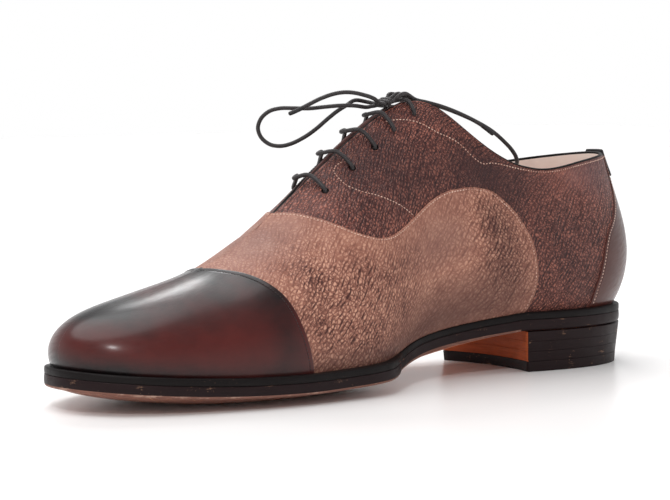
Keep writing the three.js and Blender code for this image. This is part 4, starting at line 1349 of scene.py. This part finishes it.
def thread(name, dark, light):
    s = Shader(name)
    place = s.place()
    twist = s.noise(place, 1400.0, 2.0)
    wear = s.noise(place, 60.0, 3.0)
    amount = s.spread(s.add(s.times(twist, 0.5), s.times(wear, 0.5)), 0.4, 0.62)
    color = s.mix(amount, dark, light)
    return s.finish(Base_Color=color, Roughness=0.6, Normal=s.bump(twist, 0.00005, 0.4))


def floor_material():
    s = Shader("pale_floor")
    cloud = s.noise(s.place(), 3.0, 3.0)
    color = s.mix(cloud, "#f6f4f3", "#fbfaf9")
    return s.finish(Base_Color=color, Roughness=0.3)


# Camera, lights and floor
CAMERA_LENS = 138
CAMERA_SENSOR = 36
CAMERA_PLACE = (0.8173, 0.8495, 0.1444)
CAMERA_DIRECTION = (-0.62842897, -0.77383024, -0.07914406)


def put_in(data, place, direction):
    """A camera or a light at a place, turned to a direction."""
    thing = bpy.data.objects.new(data.name, data)
    thing.location = place
    thing.rotation_euler = Vector(direction).to_track_quat("-Z", "Y").to_euler()
    bpy.context.scene.collection.objects.link(thing)
    return thing


def make_camera():
    data = bpy.data.cameras.new("camera")
    data.lens, data.sensor_width = CAMERA_LENS, CAMERA_SENSOR
    data.clip_start = 0.01
    bpy.context.scene.camera = put_in(data, CAMERA_PLACE, CAMERA_DIRECTION)


def area_light(name, place, target, size, watts):
    data = bpy.data.lights.new(name, "AREA")
    data.shape = "RECTANGLE"
    data.size, data.size_y = size
    data.energy = watts
    put_in(data, place, Vector(target) - Vector(place))


def make_sky():
    """White at the horizon, and grey overhead."""
    world = bpy.data.worlds.new("studio")
    bpy.context.scene.world = world
    world.use_nodes = True
    nodes, links = world.node_tree.nodes, world.node_tree.links
    height = nodes.new("ShaderNodeSeparateXYZ")
    links.new(nodes.new("ShaderNodeTexCoord").outputs["Generated"], height.inputs[0])
    sky = nodes.new("ShaderNodeValToRGB")
    low, high = sky.color_ramp.elements
    low.position, low.color = 0.12, (1, 1, 1, 1)
    high.position, high.color = 0.55, (0.42, 0.42, 0.43, 1)
    links.new(height.outputs["Z"], sky.inputs[0])
    links.new(sky.outputs[0], nodes["Background"].inputs["Color"])


FLOOR_REACH = 2600
FLOOR_MIDDLE = 100
FLOOR_LEVEL = -0.02


def make_studio():
    make_sky()
    key = bpy.data.lights.new("broad_key", "SUN")
    key.energy = 2.3
    key.angle = math.radians(60)
    put_in(key, (0, 0, 0), (-0.2, 0.25, -1))
    area_light("top_area", (-0.4, -0.7, 0.9), (0.2, 0, 0.05), (0.36, 0.24), 3.2)
    area_light("small_source", (0.85, 0.61, 0.76), (0.24, 0, 0.03), (0.1, 0.1), 3.2)
    bpy.context.scene.view_settings.view_transform = "Standard"
    steps = np.linspace(-FLOOR_REACH, FLOOR_REACH, 9)
    points = stack(steps[:, None] + FLOOR_MIDDLE, steps[None, :], FLOOR_LEVEL)
    floor = Builder().grid(points).make("floor", [floor_material()], weld=0)


def stands_for(piece, slot_name, *nodes):
    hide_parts(*nodes)


make_camera()
lace = lace_cotton("lace_cotton", "#0f0b0b", "#2c2425")
tip = thread("lace_tip", "#0c0a0b", "#1c1718")
knot = make_knot([lace])
stands_for(knot, "lace", "lace_knot")
for cord_name in BOW:
    make_cord(cord_name, [lace, tip])
stands_for(make_lace_bars([lace]), "lace", *[f"lace_bar_{k}" for k in range(1, 6)])

# In each grained leather the fifth colour is a painted grey sheen, used where the tone is under 0.
vamp_leather = hatch_grain("vamp_grain", "#43221d", "#8f5d4d", "#cb9880", "#3a2120", "#7a5850", 0.46, 0.019)
quarter_leather = hatch_grain("quarter_grain", "#2b1311", "#5f322b", "#aa6a58", "#2c1518", "#65474a",
                              0.4, 0.0165)
cap_leather = smooth_leather("cap_shine", "#521a16", "#0b0506", 0.36, 0.6)
strip_leather = smooth_leather("strip_shine", "#4a221b", "#2a1210", 0.34, 0.3)
tongue_hide = smooth_leather("tongue_hide", "#5e4340", "#33201e", 0.5, 0.1)
rim_dye = edge_leather("rim_dye", "#0a0707", "#2c1e1a")
welt_dye = edge_leather("welt_dye", "#0e0a0a", "#4a3831", 0.42, 0.66)
sole_dye = edge_leather("sole_edge_dye", "#190e0f", "#8a6a55", 0.42, 0.56)
worn_dye = edge_leather("worn_edge", "#6a4a40", "#a8897a", 0.55, 0.45)
breast_hide = edge_leather("breast_hide", "#8f4526", "#5a2a1a", 0.5, 0.6)
lining_hide = lining_leather("lining_hide", "#fbe9e0")
sock_hide = lining_leather("sock_hide", "#c4a890")
pale_thread = thread("pale_thread", "#a87c6c", "#e2c2b0")
dark_thread = thread("dark_thread", "#0f0a0b", "#2b1c1c")

for piece, slot_name, node in (
    (make_quarters([quarter_leather, rim_dye]), "grained_leather", "upper"),
    (make_vamp([vamp_leather]), "grained_leather", "upper"),
    (make_cap([cap_leather]), "grained_leather", "upper"),
    (make_strip([strip_leather]), "grained_leather", "upper"),
    (make_lining([lining_hide, rim_dye]), "insole_leather", "upper"),
    (make_stitches([pale_thread, dark_thread]), "grained_leather", "upper"),
    (make_seam_ridges([quarter_leather]), "grained_leather", "upper"),
    (make_tongue([tongue_hide, rim_dye]), "tongue_leather", "tongue"),
    (make_pull([tape("pull_tape")]), "pull_tape", "heel_tab"),
    (make_sock([sock_hide]), "insole_leather", "insole"),
    (make_welt([welt_dye]), "edge_leather", "welt"),
    (make_outsole([sole_dye, sole_leather("sole_hide"), worn_dye]), "sole_leather", "outsole"),
):
    stands_for(piece, slot_name, node)

LAYER_GAP = 0.05
seat = HEEL_SEAT - SOLE_EDGE - GAP
lift = (seat - HEEL_TOP_PIECE) / HEEL_LIFTS
for k in range(HEEL_LIFTS):
    top_z = seat - k * lift
    insets = ((k + 1) * HEEL_TAPER, k * HEEL_TAPER)
    layer = make_heel_layer(f"heel_layer_{k + 1}", top_z - lift + LAYER_GAP, top_z, insets,
                            [sole_dye, breast_hide], 1)
    stands_for(layer, "edge_leather", f"heel_lift_{k + 1}")
insets = ((HEEL_LIFTS + 0.6) * HEEL_TAPER, HEEL_LIFTS * HEEL_TAPER)
top_piece = make_heel_layer("top_piece_rubber", 0, HEEL_TOP_PIECE - LAYER_GAP, insets, [sole_dye], 0)
stands_for(top_piece, "top_piece", "heel_top_piece")

make_studio()
